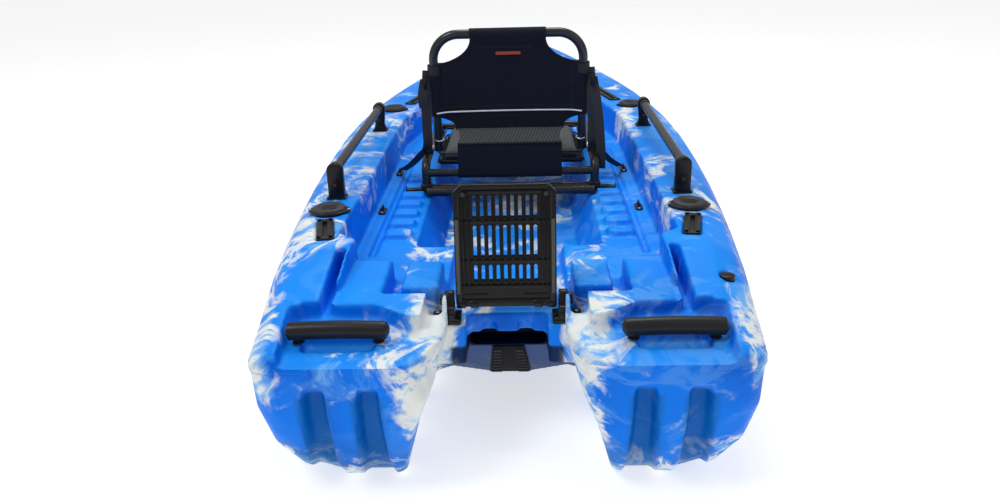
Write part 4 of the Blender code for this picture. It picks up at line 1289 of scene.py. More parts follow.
@dataclass
class GearTrack:
    """An accessory track let into the side deck: a rimmed insert with a lipped slot."""

    side: Side
    place: str
    turn: float
    length: float
    width: float = 0.032

    def build(self, shop: Shop) -> None:
        """Builds the insert and its screws."""
        node = f"gear_track_{self.place}_{self.side.label}"
        low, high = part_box(node)
        middle = (low + high) / 2
        local = placed((middle.x, middle.y, 0), (0, 0, self.turn))
        w, l = self.width / 2, self.length / 2
        top = high.z
        form = Form()
        for sign in (-1, 1):
            form.box((sign * (w + 0.0062) / 2 - (w - 0.0062) / 2, -l, low.z),
                     (sign * (w + 0.0062) / 2 + (w - 0.0062) / 2, l, top), 0.0012, 2, local)
            form.box((-w, sign * (l - 0.007) - 0.007, low.z), (w, sign * (l - 0.007) + 0.007, top),
                     0.0014, 2, local)
            form.box((sign * 0.0056 - 0.0012, -l + 0.012, top - 0.0040),
                     (sign * 0.0056 + 0.0012, l - 0.012, top - 0.0008), 0.0005, 1, local)
        form.box((-0.0075, -l + 0.004, low.z), (0.0075, l - 0.004, top - 0.0072), 0.0, 1, local)
        shop.make(form, node + "_insert", "fitting", [node])
        screws = Form()
        for sign in (-1, 1):
            screws.drum(local @ placed((0, sign * (l - 0.007), top - 0.0006)), 0.0030, 0.0010,
                        0.0004, 18)
        shop.make(screws, node + "_screws", "charcoal")


@dataclass
class PadEye:
    """A strap anchor: an oval foot with a bent loop and two screws."""

    node: str

    def build(self, shop: Shop) -> None:
        """Builds the anchor."""
        low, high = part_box(self.node)
        x, y = (low.x + high.x) / 2, (low.y + high.y) / 2
        half = (high.y - low.y) / 2
        arc = [(0.009 * math.cos(a),
                (half - 0.009 if math.sin(a) >= 0 else 0.009 - half) + 0.009 * math.sin(a))
               for a in (2 * math.pi * i / 24 for i in range(24))]
        form = Form()
        form.slab(arc, 0.0042, placed((x, y, low.z)), 0.0012, 2, 40.0)
        loop = rounded([(x, y - 0.0125, low.z + 0.002), (x, y - 0.0105, high.z - 0.0028),
                        (x, y + 0.0105, high.z - 0.0028), (x, y + 0.0125, low.z + 0.002)], 0.006, 6)
        form.sweep(loop, 0.0023, 14)
        shop.make(form, self.node + "_loop", "fitting", [self.node])
        screws = Form()
        for sign in (-1, 1):
            screws.ball(placed((x, y + sign * (half - 0.005), low.z + 0.0042)), 0.0026, 0.45)
        shop.make(screws, self.node + "_screws", "steel")


@dataclass
class DrainPlug:
    """The drain plug: a coin-slotted knob with a ribbed rim."""

    def build(self, shop: Shop) -> None:
        """Builds the plug."""
        low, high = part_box("drain_plug")
        x, y = (low.x + high.x) / 2, (low.y + high.y) / 2
        radius = (high.x - low.x) / 2
        form = Form()
        form.drum(placed((x, y, low.z)), radius * 0.99, high.z - low.z - 0.001, 0.0018, 36)
        form.box((x - radius * 0.72, y - 0.0018, high.z - 0.0016),
                 (x + radius * 0.72, y + 0.0018, high.z), 0.0006, 1)
        for k in range(18):
            a = 2 * math.pi * k / 18
            form.box((radius * 0.90, -0.0007, 0.001),
                     (radius * 0.998, 0.0007, high.z - low.z - 0.002),
                     0.0, 1, placed((x, y, low.z), (0, 0, math.degrees(a))))
        shop.make(form, "drain_plug_knob", "fitting", ["drain_plug"])


@dataclass
class FootBrace:
    """One side's foot brace: a toothed track and a ribbed pedal that slides on it."""

    side: Side

    def build(self, shop: Shop) -> None:
        """Builds the track and the pedal."""
        label = self.side.label
        low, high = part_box("foot_track_" + label)
        sign = self.side.sign
        outer, inner = (high.x, low.x) if sign > 0 else (low.x, high.x)
        start = Vector((outer - sign * 0.010, low.y + 0.001, low.z))
        end = Vector((inner + sign * 0.010, high.y - 0.001, low.z))
        along = end - start
        local = placed(start, (0, 0, math.degrees(math.atan2(-along.x, along.y))))
        run = along.length
        form = Form()
        form.box((-0.0095, 0, 0), (0.0095, run, 0.008), 0.0015, 2, local)
        for edge in (-1, 1):
            form.box((edge * 0.0078 - 0.0015, 0.004, 0.006),
                     (edge * 0.0078 + 0.0015, run - 0.004, 0.012), 0.0006, 1, local)
        for i in range(int(run / 0.014)):
            form.box((-0.0062, 0.010 + i * 0.014, 0.007), (0.0062, 0.016 + i * 0.014, 0.0098),
                     0.0005, 1, local)
        shop.make(form, "foot_track_rail_" + label, "fitting", ["foot_track_" + label])
        low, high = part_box("foot_brace_" + label)
        pedal = Form()
        face = (low.y + 0.012 - 0.011, low.y + 0.012 + 0.011)
        pedal.box((low.x, face[0], low.z), (high.x, face[1], high.z), 0.006, 3)
        for i in range(7):
            z = low.z + 0.012 + i * 0.0105
            pedal.box((low.x + 0.006, face[0] - 0.0010, z),
                      (high.x - 0.006, face[0] + 0.002, z + 0.0042), 0.0009, 1)
        x = high.x if sign > 0 else low.x
        pedal.box((min(x, x - sign * 0.017), face[0] + 0.004, low.z),
                  (max(x, x - sign * 0.017), high.y, low.z + 0.0138), 0.003, 2)
        shop.make(pedal, "foot_pedal_" + label, "fitting", ["foot_brace_" + label])


@dataclass
class BowHatch:
    """The bow hatch: a bolted rim, and a ribbed lid on a hinge with a latch."""

    screw_count: int = 5
    wall: float = 0.016
    ribs: int = 5
    rib_pitch: float = 0.030

    def build(self, shop: Shop) -> None:
        """Builds the rim and the lid."""
        low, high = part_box("bow_hatch_rim")
        lid_low, lid_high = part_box("bow_hatch_lid")
        wall = self.wall
        corners = [(low.x + wall / 2, low.y + wall / 2), (high.x - wall / 2, low.y + wall / 2),
                   (high.x - wall / 2, high.y - wall / 2), (low.x + wall / 2, high.y - wall / 2)]
        form = Form()
        middle = (low + high) / 2
        loop = [(middle.x, corners[0][1], middle.z), (*corners[1], middle.z),
                (*corners[2], middle.z),
                (*corners[3], middle.z), (*corners[0], middle.z),
                (middle.x, corners[0][1], middle.z)]
        form.sweep(rounded(loop, 0.022, 8), 0.0, flat=(wall, high.z - low.z), ring=True)
        shop.make(form, "hatch_rim_moulding", "fitting", ["bow_hatch_rim"])
        screws = Form()
        for sign in (-1, 1):
            for i in range(self.screw_count):
                y = low.y + 0.035 + i * (high.y - low.y - 0.07) / (self.screw_count - 1)
                screws.ball(placed((middle.x + sign * (high.x - low.x - 0.009) / 2, y,
                                    high.z - 0.0003)), 0.0026, 0.5)
        shop.make(screws, "hatch_rim_screws", "steel")
        lid = Form()
        lid.box(lid_low, (lid_high.x, lid_high.y - 0.010, lid_high.z - 0.003), 0.005, 4)
        span = (lid_high.x - lid_low.x) / 2 - 0.022
        lid.box((middle.x - span, lid_low.y + 0.022, lid_high.z - 0.005),
                (middle.x + span, lid_high.y - 0.034, lid_high.z), 0.0028, 3)
        for i in range(self.ribs):
            x = middle.x + (i - self.ribs // 2) * self.rib_pitch
            lid.box((x - 0.0035, lid_low.y + 0.040, lid_high.z - 0.002),
                    (x + 0.0035, lid_high.y - 0.052, lid_high.z + 0.0018), 0.0015, 2)
        lid.drum(placed((middle.x - 0.06, lid_high.y - 0.006, (lid_low.z + lid_high.z) / 2),
                        (0, 90, 0)), 0.0055, 0.12, 0.001, 24)
        lid.box((middle.x - 0.022, lid_low.y - 0.004, lid_low.z - 0.002),
                (middle.x + 0.022, lid_low.y + 0.020, lid_high.z + 0.001), 0.003, 3)
        shop.make(lid, "hatch_lid_moulding", "charcoal", ["bow_hatch_lid"], Body.LID)


@dataclass
class SkidPlate:
    """The ribbed wear plate on the raked stern of the keel, with thin fins across it."""

    fins: int = 8

    def build(self, shop: Shop) -> None:
        """Builds the plate."""
        low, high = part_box("skid_plate")
        foot = Vector((0.0, high.y - 0.003, low.z + 0.003))
        head = Vector((0.0, low.y + 0.004, high.z - 0.002))
        along = (head - foot).normalized()
        tilt = math.degrees(math.atan2(along.z, along.y))
        local = placed(foot, (tilt, 0, 0))
        run = (head - foot).length
        wide, narrow = 0.0415, 0.0295
        outline = [(-wide, 0.0), (wide, 0.0), (narrow, run), (-narrow, run)]
        form = Form()
        form.slab(outline, 0.0035, local @ Matrix.Translation((0, 0, -0.0035)), 0.0012, 2)
        shop.make(form, "skid_plate_base", "dull", ["skid_plate"])
        fins = Form()
        for i in range(self.fins):
            y = 0.012 + i * (run - 0.030) / (self.fins - 1)
            outer = wide + (narrow - wide) * y / run - 0.003
            for sign in (-1, 1):
                x = sorted((sign * outer, sign * (0.013 + 0.004 * (1 - y / run))))
                fins.box((x[0], y - 0.0010, -0.0010), (x[1], y + 0.0010, 0.0042), 0.0006, 1, local)
        shop.make(fins, "skid_plate_fins", "strip")


# The stern gate.


@dataclass
class SternGate:
    """The folding gate: a slotted panel in a channelled frame, on two knuckled hinges."""

    lean: float = 9.0
    columns: int = 9
    pitch: float = 0.0129
    slot_width: float = 0.0060
    rows: tuple[Pair, ...] = ((0.043, 0.069), (0.0855, 0.1385), (0.154, 0.190))
    half_width: float = 0.087
    height: float = 0.2095
    chamfer: float = 0.014
    plate: float = 0.0055
    rim: float = 0.011

    def panel(self, form: Form, local: Matrix) -> None:
        """The slotted plate with its lips and tabs."""
        xs = [-self.half_width + self.rim]
        for i in range(self.columns):
            x = (i - (self.columns - 1) / 2) * self.pitch
            xs += [x + share * self.slot_width for share in (-0.5, -0.25, 0.25, 0.5)]
        xs.append(self.half_width - self.rim)
        crown = 0.0016
        zs = [0.006]
        for low, high in self.rows:
            zs += [low, high - crown, high]
        zs.append(self.height - 0.010)

        def open_cell(x: float, z: float) -> bool:
            """Whether a slot passes here. Each slot's crown is narrower."""
            column = round(x / self.pitch + (self.columns - 1) / 2)
            offset = abs(x - (column - (self.columns - 1) / 2) * self.pitch)
            if not 0 <= column < self.columns or offset > self.slot_width / 2:
                return False
            narrow = offset < self.slot_width / 4
            return any(low < z < (high if narrow else high - crown) for low, high in self.rows)

        flat = local @ Matrix(((1, 0, 0, 0), (0, 0, -1, 0), (0, 1, 0, 0), (0, 0, 0, 1)))
        form.lattice(xs, zs, open_cell, self.plate,
                     flat @ Matrix.Translation((0, 0, -self.plate / 2)))
        for i in range(self.columns):
            x = (i - (self.columns - 1) / 2) * self.pitch
            for low, high in self.rows:
                form.box((x - 0.0026, -0.0078, low - 0.0080), (x + 0.0026, -0.0020, low - 0.0018),
                         0.0008, 1, local)
            for low, high in ((0.038, 0.0735), (0.0795, 0.1430), (0.1490, 0.195)):
                edge = x + self.pitch / 2
                if i < self.columns - 1:
                    form.box((edge - 0.0012, -0.0058, low), (edge + 0.0012, -0.0020, high), 0.0006,
                             1, local)

    def surround(self, form: Form, local: Matrix) -> None:
        """The rim: chamfered flanges round the top and sides, and the ribbed foot."""
        w, h, c = self.half_width, self.height, self.chamfer
        band = self.rim
        outer = [(-w, -0.006), (-w, h - c), (-w + c, h), (w - c, h), (w, h - c), (w, -0.006)]
        inner = [(w - band, -0.006), (w - band, h - c - 0.004), (w - c - 0.006, h - band),
                 (-w + c + 0.006, h - band), (-w + band, h - c - 0.004), (-w + band, -0.006)]
        flat = local @ Matrix(((1, 0, 0, 0), (0, 0, -1, 0), (0, 1, 0, 0), (0, 0, 0, 1)))
        form.slab(outer + inner, 0.0195, flat @ Matrix.Translation((0, 0, -0.0125)), 0.0016, 2,
                  20.0)
        form.box((-w + c, -0.0125, h - 0.0075), (w - c, 0.0125, h), 0.0022, 3, local)
        form.box((-w + c + 0.006, -0.0095, h - 0.0165), (w - c - 0.006, -0.0020, h - 0.0105),
                 0.0012, 2, local)
        for low, high in ((0.0725, 0.0790), (0.1415, 0.1475)):
            form.box((-w + band - 0.001, -0.0064, low), (w - band + 0.001, 0.0030, high), 0.0010, 2,
                     local)
        form.box((-w + band - 0.001, -0.0075, 0.028), (w - band + 0.001, 0.0045, 0.0345), 0.0012, 2,
                 local)
        form.box((-w + band - 0.001, -0.0060, -0.005), (w - band + 0.001, 0.0045, 0.0085), 0.0012,
                 2, local)
        for sign in (-1, 1):
            for at_x in (w - band - 0.0045, w - band - 0.0130):
                form.box((sign * at_x - 0.0013, -0.0105, 0.0345),
                         (sign * at_x + 0.0013, -0.0015, h - 0.012), 0.0009, 2, local)
            inner, outer = w - band - 0.046, w - band - 0.004
            brace = [(sign * inner, 0.0175), (sign * outer, 0.0120), (sign * outer, 0.0175)]
            form.slab(brace if sign > 0 else brace[::-1], 0.0040,
                      flat @ Matrix.Translation((0, 0, 0.0015)), 0.0005, 1)

    def hinges(self, shop: Shop, pivot: Vector) -> None:
        """The knuckled brackets on the shelves beside the transom, with pins and screws."""
        for side in Side:
            node = "gate_bracket_" + side.label
            low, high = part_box(node)
            form = Form()
            form.box((low.x, low.y, low.z), (high.x, high.y, low.z + 0.0075), 0.0022, 3)
            x0, x1 = sorted((side.sign * 0.0903, side.sign * 0.1058))
            crown = pivot.z + 0.012
            cheek = [(low.y + 0.002, low.z + 0.004), (high.y - 0.002, low.z + 0.004),
                     (pivot.y + 0.0145, pivot.z - 0.004)]
            cheek += [(pivot.y + 0.0125 * math.cos(a), crown + 0.0125 * math.sin(a))
                      for a in (math.pi * i / 12 for i in range(13))]
            cheek.append((low.y + 0.0005, pivot.z - 0.010))
            form.slab(cheek, x1 - x0,
                      Matrix(((0, 0, 1, x0), (1, 0, 0, 0), (0, 1, 0, 0), (0, 0, 0, 1))),
                      0.0016, 2, 30.0)
            for i in range(3):
                x = side.sign * (0.0925 + i * 0.0052)
                form.drum(placed((x - 0.0019, pivot.y, pivot.z), (0, 90, 0)), 0.0128, 0.0038, 0.001,
                          28)
            block = [(abs(low.x + high.x) / 2 - (high.x - low.x) / 2, low.z), (0.1160, low.z),
                     (0.1160, low.z + 0.009),
                     (0.1075, pivot.z + 0.002), (0.0895, pivot.z + 0.004), (0.0895, low.z + 0.012),
                     (abs(low.x + high.x) / 2 - (high.x - low.x) / 2, low.z + 0.010)]
            outline = [(side.sign * a, b) for a, b in block][::side.sign]
            form.slab(outline, high.y - low.y - 0.014,
                      Matrix(((1, 0, 0, 0), (0, 0, 1, low.y + 0.002), (0, 1, 0, 0), (0, 0, 0, 1))),
                      0.0016, 2)
            knob = max(x0, x1) - 0.001 if side.sign > 0 else min(x0, x1) - 0.009
            form.drum(placed((knob, pivot.y, pivot.z + 0.008), (0, 90, 0)), 0.0105, 0.010, 0.0022,
                      24)
            form.box((min(x0, x1) + 0.003, low.y + 0.001, low.z + 0.004),
                     (max(x0, x1) - 0.003, low.y + 0.010, pivot.z - 0.010), 0.0015, 2)
            shop.make(form, "hinge_bracket_" + side.label, "gloss", [node])
            screws = Form()
            for x, y in ((high.x - 0.008, low.y + 0.012), (high.x - 0.008, high.y - 0.010)):
                x = x if side.sign > 0 else low.x + 0.008
                screws.ball(placed((x, y, low.z + 0.0074)), 0.0034, 0.5)
            screws.drum(placed((x1 if side.sign > 0 else x0 - 0.0022, pivot.y, pivot.z),
                               (0, 90, 0)), 0.0050, 0.0022, 0.0008, 24)
            shop.make(screws, "hinge_screws_" + side.label, "steel")

    def build(self, shop: Shop) -> None:
        """Builds the gate and its hinges."""
        pivot = pivot_of("gate_fold")
        local = placed(pivot, (-self.lean, 0, 0))
        form = Form()
        self.panel(form, local)
        self.surround(form, local)
        for sign in (-1, 1):
            for i in range(2):
                x = sign * (0.0555 + i * 0.022)
                form.drum(local @ placed((x - 0.007, 0, 0), (0, 90, 0)), 0.0085, 0.014, 0.0012, 28)
        shop.make(form, "gate_moulding", "gloss", ["stern_gate"], Body.GATE, 30.0)
        strips = Form()
        for sign in (-1, 1):
            x = sorted((sign * (self.half_width - 0.0085), sign * (self.half_width - 0.0025)))
            strips.box((x[0], -0.0136, 0.020), (x[1], -0.0118, 0.150), 0.0006, 2, local)
        shop.make(strips, "gate_wear_strips", "strip", body=Body.GATE)
        screws = Form()
        for sign in (-1, 1):
            screws.drum(local @ placed((sign * (self.half_width - 0.017), -0.0120,
                                        self.height - 0.0165), (90, 0, 0)),
                        0.0040, 0.0016, 0.0005, 20)
        shop.make(screws, "gate_screws", "charcoal", body=Body.GATE)
        self.hinges(shop, pivot)


# The seat.


@dataclass
class SeatFrame:
    """The seat's lower frame: crossbars with end caps, two arched side tubes and clamps."""

    tube: float = 0.011
    bend: float = 0.030
    spacing: float = 0.030
    brace_half: float = 0.207
    side: float = 0.210
    rail: float = 0.322
    aft_bar: float = 0.296
    fore_bar: float = 0.312
    tongue: Pair = (0.017, 0.0062)
    gussets: tuple[float, ...] = (-0.195, -0.100, 0.100, 0.195)

    def build(self, shop: Shop) -> None:
        """Builds the tubes, the clamps and the end caps."""
        low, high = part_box("seat_base_frame")
        bar = low.z + self.tube * 1.06
        brace = low.y + self.tube
        aft, fore = brace + self.spacing, high.y - self.tube
        rail, side, ends = self.rail, self.side, high.x
        form = Form()
        half = side + 0.008
        thin = self.tube * 0.9
        bars = [(half, aft, bar, self.tube, 28), (half, fore, bar, self.tube, 28),
                (self.brace_half, brace, bar, self.tube, 28),
                (side, aft, self.aft_bar, thin, 24), (side, fore, self.fore_bar, thin, 24)]
        for reach, y, z, radius, sides in bars:
            form.sweep([(-reach + i * reach / 6, y, z) for i in range(13)], radius, sides)
        for y in (aft, fore):
            for sign in (-1, 1):
                tongue = [(sign * (half - 0.004 + i * (ends - half + 0.003) / 8), y, bar - 0.003)
                          for i in range(9)]
                form.sweep(tongue, 0.0, flat=self.tongue)
        for x in self.gussets:
            form.box((x - 0.010, brace, bar - 0.005), (x + 0.010, aft, bar + 0.005), 0.002, 2)
        for sign in (-1, 1):
            x = sign * side
            arch = rounded([(x, aft, bar), (x, aft, rail), (x, fore, rail), (x, fore, bar)],
                           self.bend, 10)
            form.sweep(arch, self.tube * 0.985, 28)
        shop.make(form, "seat_tubes", "tube", ["seat_base_frame"])
        clamps = Form()
        for sign in (-1, 1):
            for y in (aft, fore):
                clamps.box((sign * side - 0.014, y - 0.0135, low.z),
                           (sign * side + 0.014, y + 0.0135, bar + 0.0145), 0.004, 3)
                clamps.drum(placed((sign * (ends - 0.001), y, bar), (0, 90 * sign, 0)), 0.0086,
                            0.001, 0.0, 20)
            pivot = pivot_of("seat_back_fold")
            x = sorted((sign * 0.1995, sign * 0.2145))
            clamps.box((x[0], pivot.y - 0.0165, rail - 0.003),
                       (x[1], pivot.y + 0.0165, pivot.z + 0.0135), 0.0045, 3)
        shop.make(clamps, "seat_clamps", "fitting")


@dataclass
class SeatBack:
    """The folding back: a bent tube with a sling of cloth sleeved over it.

    The cloth wraps the top bar and both uprights, and is scooped away at the upper corners.
    Its lower edge narrows to a band that the mesh and the apron hang from.
    """

    lean: float = 6.0
    tube: float = 0.011
    half: float = 0.182
    height: float = 0.290
    corner: float = 0.062
    sleeve: float = 0.0030
    scoop_half: float = 0.092
    scoop_foot: float = 0.072
    band_half: float = 0.136
    band_top: float = 0.088
    band_foot: float = 0.050
    thin: float = 0.0032
    label_half: float = 0.030
    label_drop: float = 0.048

    def frame_matrix(self) -> Matrix:
        """The back's own frame, at its pivot."""
        return placed(pivot_of("seat_back_fold"), (self.lean, 0, 0))

    def hoop(self) -> list[Vector]:
        """The tube's centre line, in the back's own frame."""
        return rounded([(-self.half, 0, -0.004), (-self.half, 0, self.height),
                        (self.half, 0, self.height), (self.half, 0, -0.004)], self.corner, 16)

    def reach(self, up: float) -> float:
        """Half the cloth's width at a height above the pivot.

        Args:
            up: The height.

        Returns:
            Half the width.
        """
        full = self.half + self.tube + self.sleeve
        if up < self.band_top:
            share = max(0.0, (up - self.band_foot) / (self.band_top - self.band_foot))
            return self.band_half + (full - self.band_half) * share ** 3.2
        foot = self.height - self.scoop_foot
        if up < foot:
            return full
        share = min(1.0, (up - foot) / (self.scoop_foot - 0.012))
        return full - (full - self.scoop_half) * math.sqrt(1 - (1 - share) ** 2)

    def thickness(self, x: float, up: float) -> float:
        """Half the cloth's depth at a point, which swells where it wraps the tube.

        Args:
            x: The place across the back.
            up: The height above the pivot.

        Returns:
            Half the depth.
        """
        wrap = self.tube + self.sleeve
        near = min(abs(abs(x) - self.half) if up > self.band_top else 1.0, abs(self.height - up))
        if near >= wrap * 2.6:
            return self.thin
        if near <= wrap * 0.6:
            return math.sqrt(wrap ** 2 - near ** 2)
        start = math.sqrt(wrap ** 2 - (wrap * 0.6) ** 2)
        share = (near - wrap * 0.6) / (wrap * 2.0)
        return self.thin + (start - self.thin) * (1 - share) ** 2

    @staticmethod
    def sag(x: float, rise: float) -> float:
        """How far the sling hollows towards the bow.

        Args:
            x: The place across the back.
            rise: The height as a share of the cloth's, from 0 to 1.

        Returns:
            The depth of the hollow.
        """
        across = 1 - min(1.0, abs(x) / 0.16) ** 2
        return 0.010 * across * math.sin(math.pi * min(1.0, max(0.0, rise) * 1.05)) ** 1.2

    def cloth(self, form: Form, local: Matrix) -> None:
        """The sling, as one closed grid in two layers."""
        columns, rows = 84, 92
        top = self.height + self.tube + self.sleeve
        wrap = self.tube + self.sleeve
        made = bmesh.ops.create_grid(form.mesh, x_segments=columns, y_segments=rows,
                                     size=0.5)["verts"]
        layers = [made]
        whole = form.mesh.faces[:] + form.mesh.edges[:] + form.mesh.verts[:]
        copy = bmesh.ops.duplicate(form.mesh, geom=whole)
        layers.append([g for g in copy["geom"] if isinstance(g, bmesh.types.BMVert)])
        for sign, layer in zip((-1, 1), layers):
            for vert in layer:
                u, v = vert.co.x * 2, vert.co.y + 0.5
                up = self.band_foot + (top - self.band_foot) * v
                x = self.reach(min(up, self.height - 0.012)) * u
                depth = self.thickness(x, up)
                edge = self.reach(min(up, self.height - 0.012)) - abs(x)
                if up > self.height:
                    depth = math.sqrt(max(0.0, wrap ** 2 - (up - self.height) ** 2))
                elif abs(x) > self.half and up > self.band_top:
                    depth = math.sqrt(max(0.0, wrap ** 2 - (abs(x) - self.half) ** 2))
                elif edge < 0.004:
                    depth *= math.sqrt(max(0.0, edge / 0.004))
                sag = self.sag(x, v)
                crease = 0.0016 * noise.noise(Vector((x * 16, up * 11, 0.5 * sign)))
                pull = 0.0022 * math.exp(-edge / 0.02) * math.sin(up * 190) * (1 if up < 0.2
                                                                               else 0.3)
                swell = (crease + pull * 0.4) * min(1.0, edge / 0.012)
                if abs(x) >= self.half - 0.02 or up >= self.height - 0.02:
                    swell = 0.0
                vert.co = Vector((x, sign * depth + sag + swell, up))
        rims = [[e for e in {e for v in layer for e in v.link_edges} if e.is_boundary]
                for layer in layers]
        bmesh.ops.bridge_loops(form.mesh, edges=rims[0] + rims[1])
        bmesh.ops.remove_doubles(form.mesh, verts=form.mesh.verts[:], dist=2e-5)
        bmesh.ops.transform(form.mesh, matrix=local, verts=form.mesh.verts[:])

    def surface(self, x: float, up: float, out: float) -> Vector:
        """A point just aft of the cloth.

        Args:
            x: The place across the back.
            up: The height above the pivot.
            out: The distance from the cloth.

        Returns:
            The point, in the back's own frame.
        """
        top = self.height + self.tube + self.sleeve
        v = (up - self.band_foot) / (top - self.band_foot)
        return Vector((x, -self.thickness(x, up) + self.sag(x, v) - out, up))

    def trim(self, shop: Shop, local: Matrix) -> None:
        """The pale piping, the stitched hems and the plain label patch."""
        form = Form()
        line = self.band_top + 0.010
        span = self.half - 0.002
        form.sweep([local @ self.surface(-span + 2 * span * i / 60, line, 0.0008)
                    for i in range(61)], 0.0020, 10)
        shop.make(form, "back_piping", "pale_piping", body=Body.BACK)
        hems = Form()
        for height in (line + 0.012, self.height - 0.030, self.height - 0.034):
            reach = min(span, self.reach(height) - 0.008)
            hems.sweep([local @ self.surface(-reach + 2 * reach * i / 50, height, 0.0001)
                        for i in range(51)], 0.0007, 6)
        for sign in (-1, 1):
            for inset in (0.0, 0.005):
                x = sign * (self.half - self.tube - self.sleeve - 0.010 - inset)
                run = self.height - self.scoop_foot - line - 0.010
                hems.sweep([local @ self.surface(x, line + 0.004 + i * run / 40, 0.0002)
                            for i in range(41)], 0.0007, 6)
        patch = [local @ self.surface(self.label_half * (i / 6 - 1), self.height - self.label_drop,
                                      0.0002)
                 for i in range(13)]
        label = Form()
        label.sweep(patch, 0.0, flat=(0.0012, 0.0075), up=(0, 0, 1))
        shop.make(label, "back_label", "label", body=Body.BACK)
        shop.make(hems, "back_hems", "dark_piping", body=Body.BACK)

    def build(self, shop: Shop) -> None:
        """Builds the tube, the cloth, its trim and the pivots."""
        local = self.frame_matrix()
        tube = Form()
        tube.sweep([local @ point for point in self.hoop()], self.tube, 28, up=(0, 1, 0))
        shop.make(tube, "back_tube", "tube", ["seat_back_frame"], Body.BACK)
        form = Form()
        self.cloth(form, local)
        sling = form.publish("back_sling")
        shop.deliver(sling, shop.finishes.cloth, ["seat_back_panel"], Body.BACK, 60.0)
        self.trim(shop, local)
        for side in Side:
            low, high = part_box("seat_pivot_" + side.label)
            bolt = Form()
            x, y, z = (low + high) / 2
            bolt.drum(placed((low.x, y, z), (0, 90, 0)), 0.006, high.x - low.x, 0.0008, 24)
            bolt.drum(placed((x - 0.0012, y, z), (0, 90, 0)), 0.0105, 0.0024, 0.0008, 28)
            shop.make(bolt, "pivot_bolt_" + side.label, "steel",
                         ["seat_pivot_" + side.label], Body.BACK)
            clip = Form()
            bar = [local @ Vector((side.sign * (self.half - 0.004 + 0.010 * math.cos(a)),
                                   -0.004 + 0.0125 * math.sin(a), 0.026))
                   for a in (2 * math.pi * i / 24 for i in range(25))]
            clip.sweep(bar, 0.0022, 10, ring=True)
            shop.make(clip, "back_clip_" + side.label, "steel", body=Body.BACK)


@dataclass
class SeatCushion:
    """The seat cushion: a crowned pad with rounded corners, piping and a waffle cloth."""

    swell: float = 0.009
    edge: float = 0.012

    def pad(self) -> bpy.types.Object:
        """The pad, inflated where simulation runs."""
        low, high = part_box("seat_cushion")
        form = Form()
        inset = 0.006
        size = high - low
        form.box((low.x + inset, low.y + inset, low.z + 0.004),
                 (high.x - inset, high.y - inset, high.z - 0.006), self.edge, 3)
        pad = form.publish("cushion_pad")
        for vert in pad.data.vertices:
            u = (vert.co.x - (low.x + high.x) / 2) / (size.x / 2)
            v = (vert.co.y - (low.y + high.y) / 2) / (size.y / 2)
            vert.co.x -= 0.006 * u * (1 - v * v)
            vert.co.y -= 0.005 * v * (1 - u * u)
        remesh = pad.modifiers.new("even", "REMESH")
        remesh.mode = "VOXEL"
        remesh.voxel_size = 0.006
        settled(pad)
        self.inflate(pad)
        smooth = pad.modifiers.new("smooth", "SMOOTH")
        smooth.iterations = 4
        smooth.factor = 0.5
        settled(pad)
        self.channel(pad, low, high)
        fine = pad.modifiers.new("fine", "SUBSURF")
        fine.levels = 1
        fine.render_levels = 1
        return settled(pad)

    def inflate(self, pad: bpy.types.Object) -> None:
        """Swells the pad with a cloth simulation, holding each point near its start.

        Args:
            pad: The pad, evenly meshed.
        """
        before = [vert.co.copy() for vert in pad.data.vertices]
        cloth = pad.modifiers.new("cloth", "CLOTH")
        cloth.settings.use_pressure = True
        cloth.settings.uniform_pressure_force = 4.0
        cloth.settings.effector_weights.gravity = 0.0
        cloth.settings.quality = 5
        scene = bpy.context.scene
        for step in range(1, 21):
            scene.frame_set(step)
        settled(pad)
        scene.frame_set(1)
        for vert, start in zip(pad.data.vertices, before):
            move = vert.co - start
            if move.length > self.swell:
                vert.co = start + move * (self.swell / move.length)

    def channel(self, pad: bpy.types.Object, low: Vector, high: Vector) -> None:
        """Presses a sewn channel round the pad's top, and keeps it in its space.

        Args:
            pad: The pad.
            low: The space's lowest corner.
            high: The space's highest corner.
        """
        middle = (low + high) / 2
        for vert in pad.data.vertices:
            u = abs(vert.co.x - middle.x) / ((high.x - low.x) / 2)
            v = abs(vert.co.y - middle.y) / ((high.y - low.y) / 2)
            ring = max(u, v)
            groove = math.exp(-((ring - 0.80) / 0.022) ** 2)
            if vert.co.z > middle.z:
                vert.co.z -= 0.0035 * groove
            vert.co.z = max(low.z, min(high.z + 0.006, vert.co.z))
            vert.co.x = max(low.x, min(high.x, vert.co.x))
            vert.co.y = max(low.y, min(high.y, vert.co.y))

    def build(self, shop: Shop) -> None:
        """Builds the pad, its piping and the slung base below it."""
        low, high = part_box("seat_cushion")
        pad = self.pad()
        shop.deliver(pad, shop.finishes.pad, ["seat_cushion"], smooth=60.0)
        piping = Form()
        for height in (low.z + 0.006, high.z - 0.008):
            corners = [((low.x + high.x) / 2, low.y, height), (high.x, low.y, height),
                       (high.x, high.y, height),
                       (low.x, high.y, height), (low.x, low.y, height),
                       ((low.x + high.x) / 2, low.y, height)]
            path = [Vector((p.x * 0.992,
                            (p.y - (low.y + high.y) / 2) * 0.990 + (low.y + high.y) / 2, p.z))
                    for p in rounded(corners, 0.022, 8)]
            piping.sweep(path, 0.0024, 10, ring=True)
        shop.make(piping, "cushion_piping", "dark_piping")
        sling = Form()
        sling.box((low.x + 0.004, low.y + 0.004, low.z - 0.0042),
                  (high.x - 0.004, high.y - 0.004, low.z + 0.002), 0.002, 2)
        for i in range(4):
            y = low.y + 0.035 + i * (high.y - low.y - 0.07) / 3
            sling.box((-0.196, y - 0.012, low.z - 0.0058), (0.196, y + 0.012, low.z - 0.0036),
                      0.0008, 1)
        shop.make(sling, "cushion_base", "cloth")


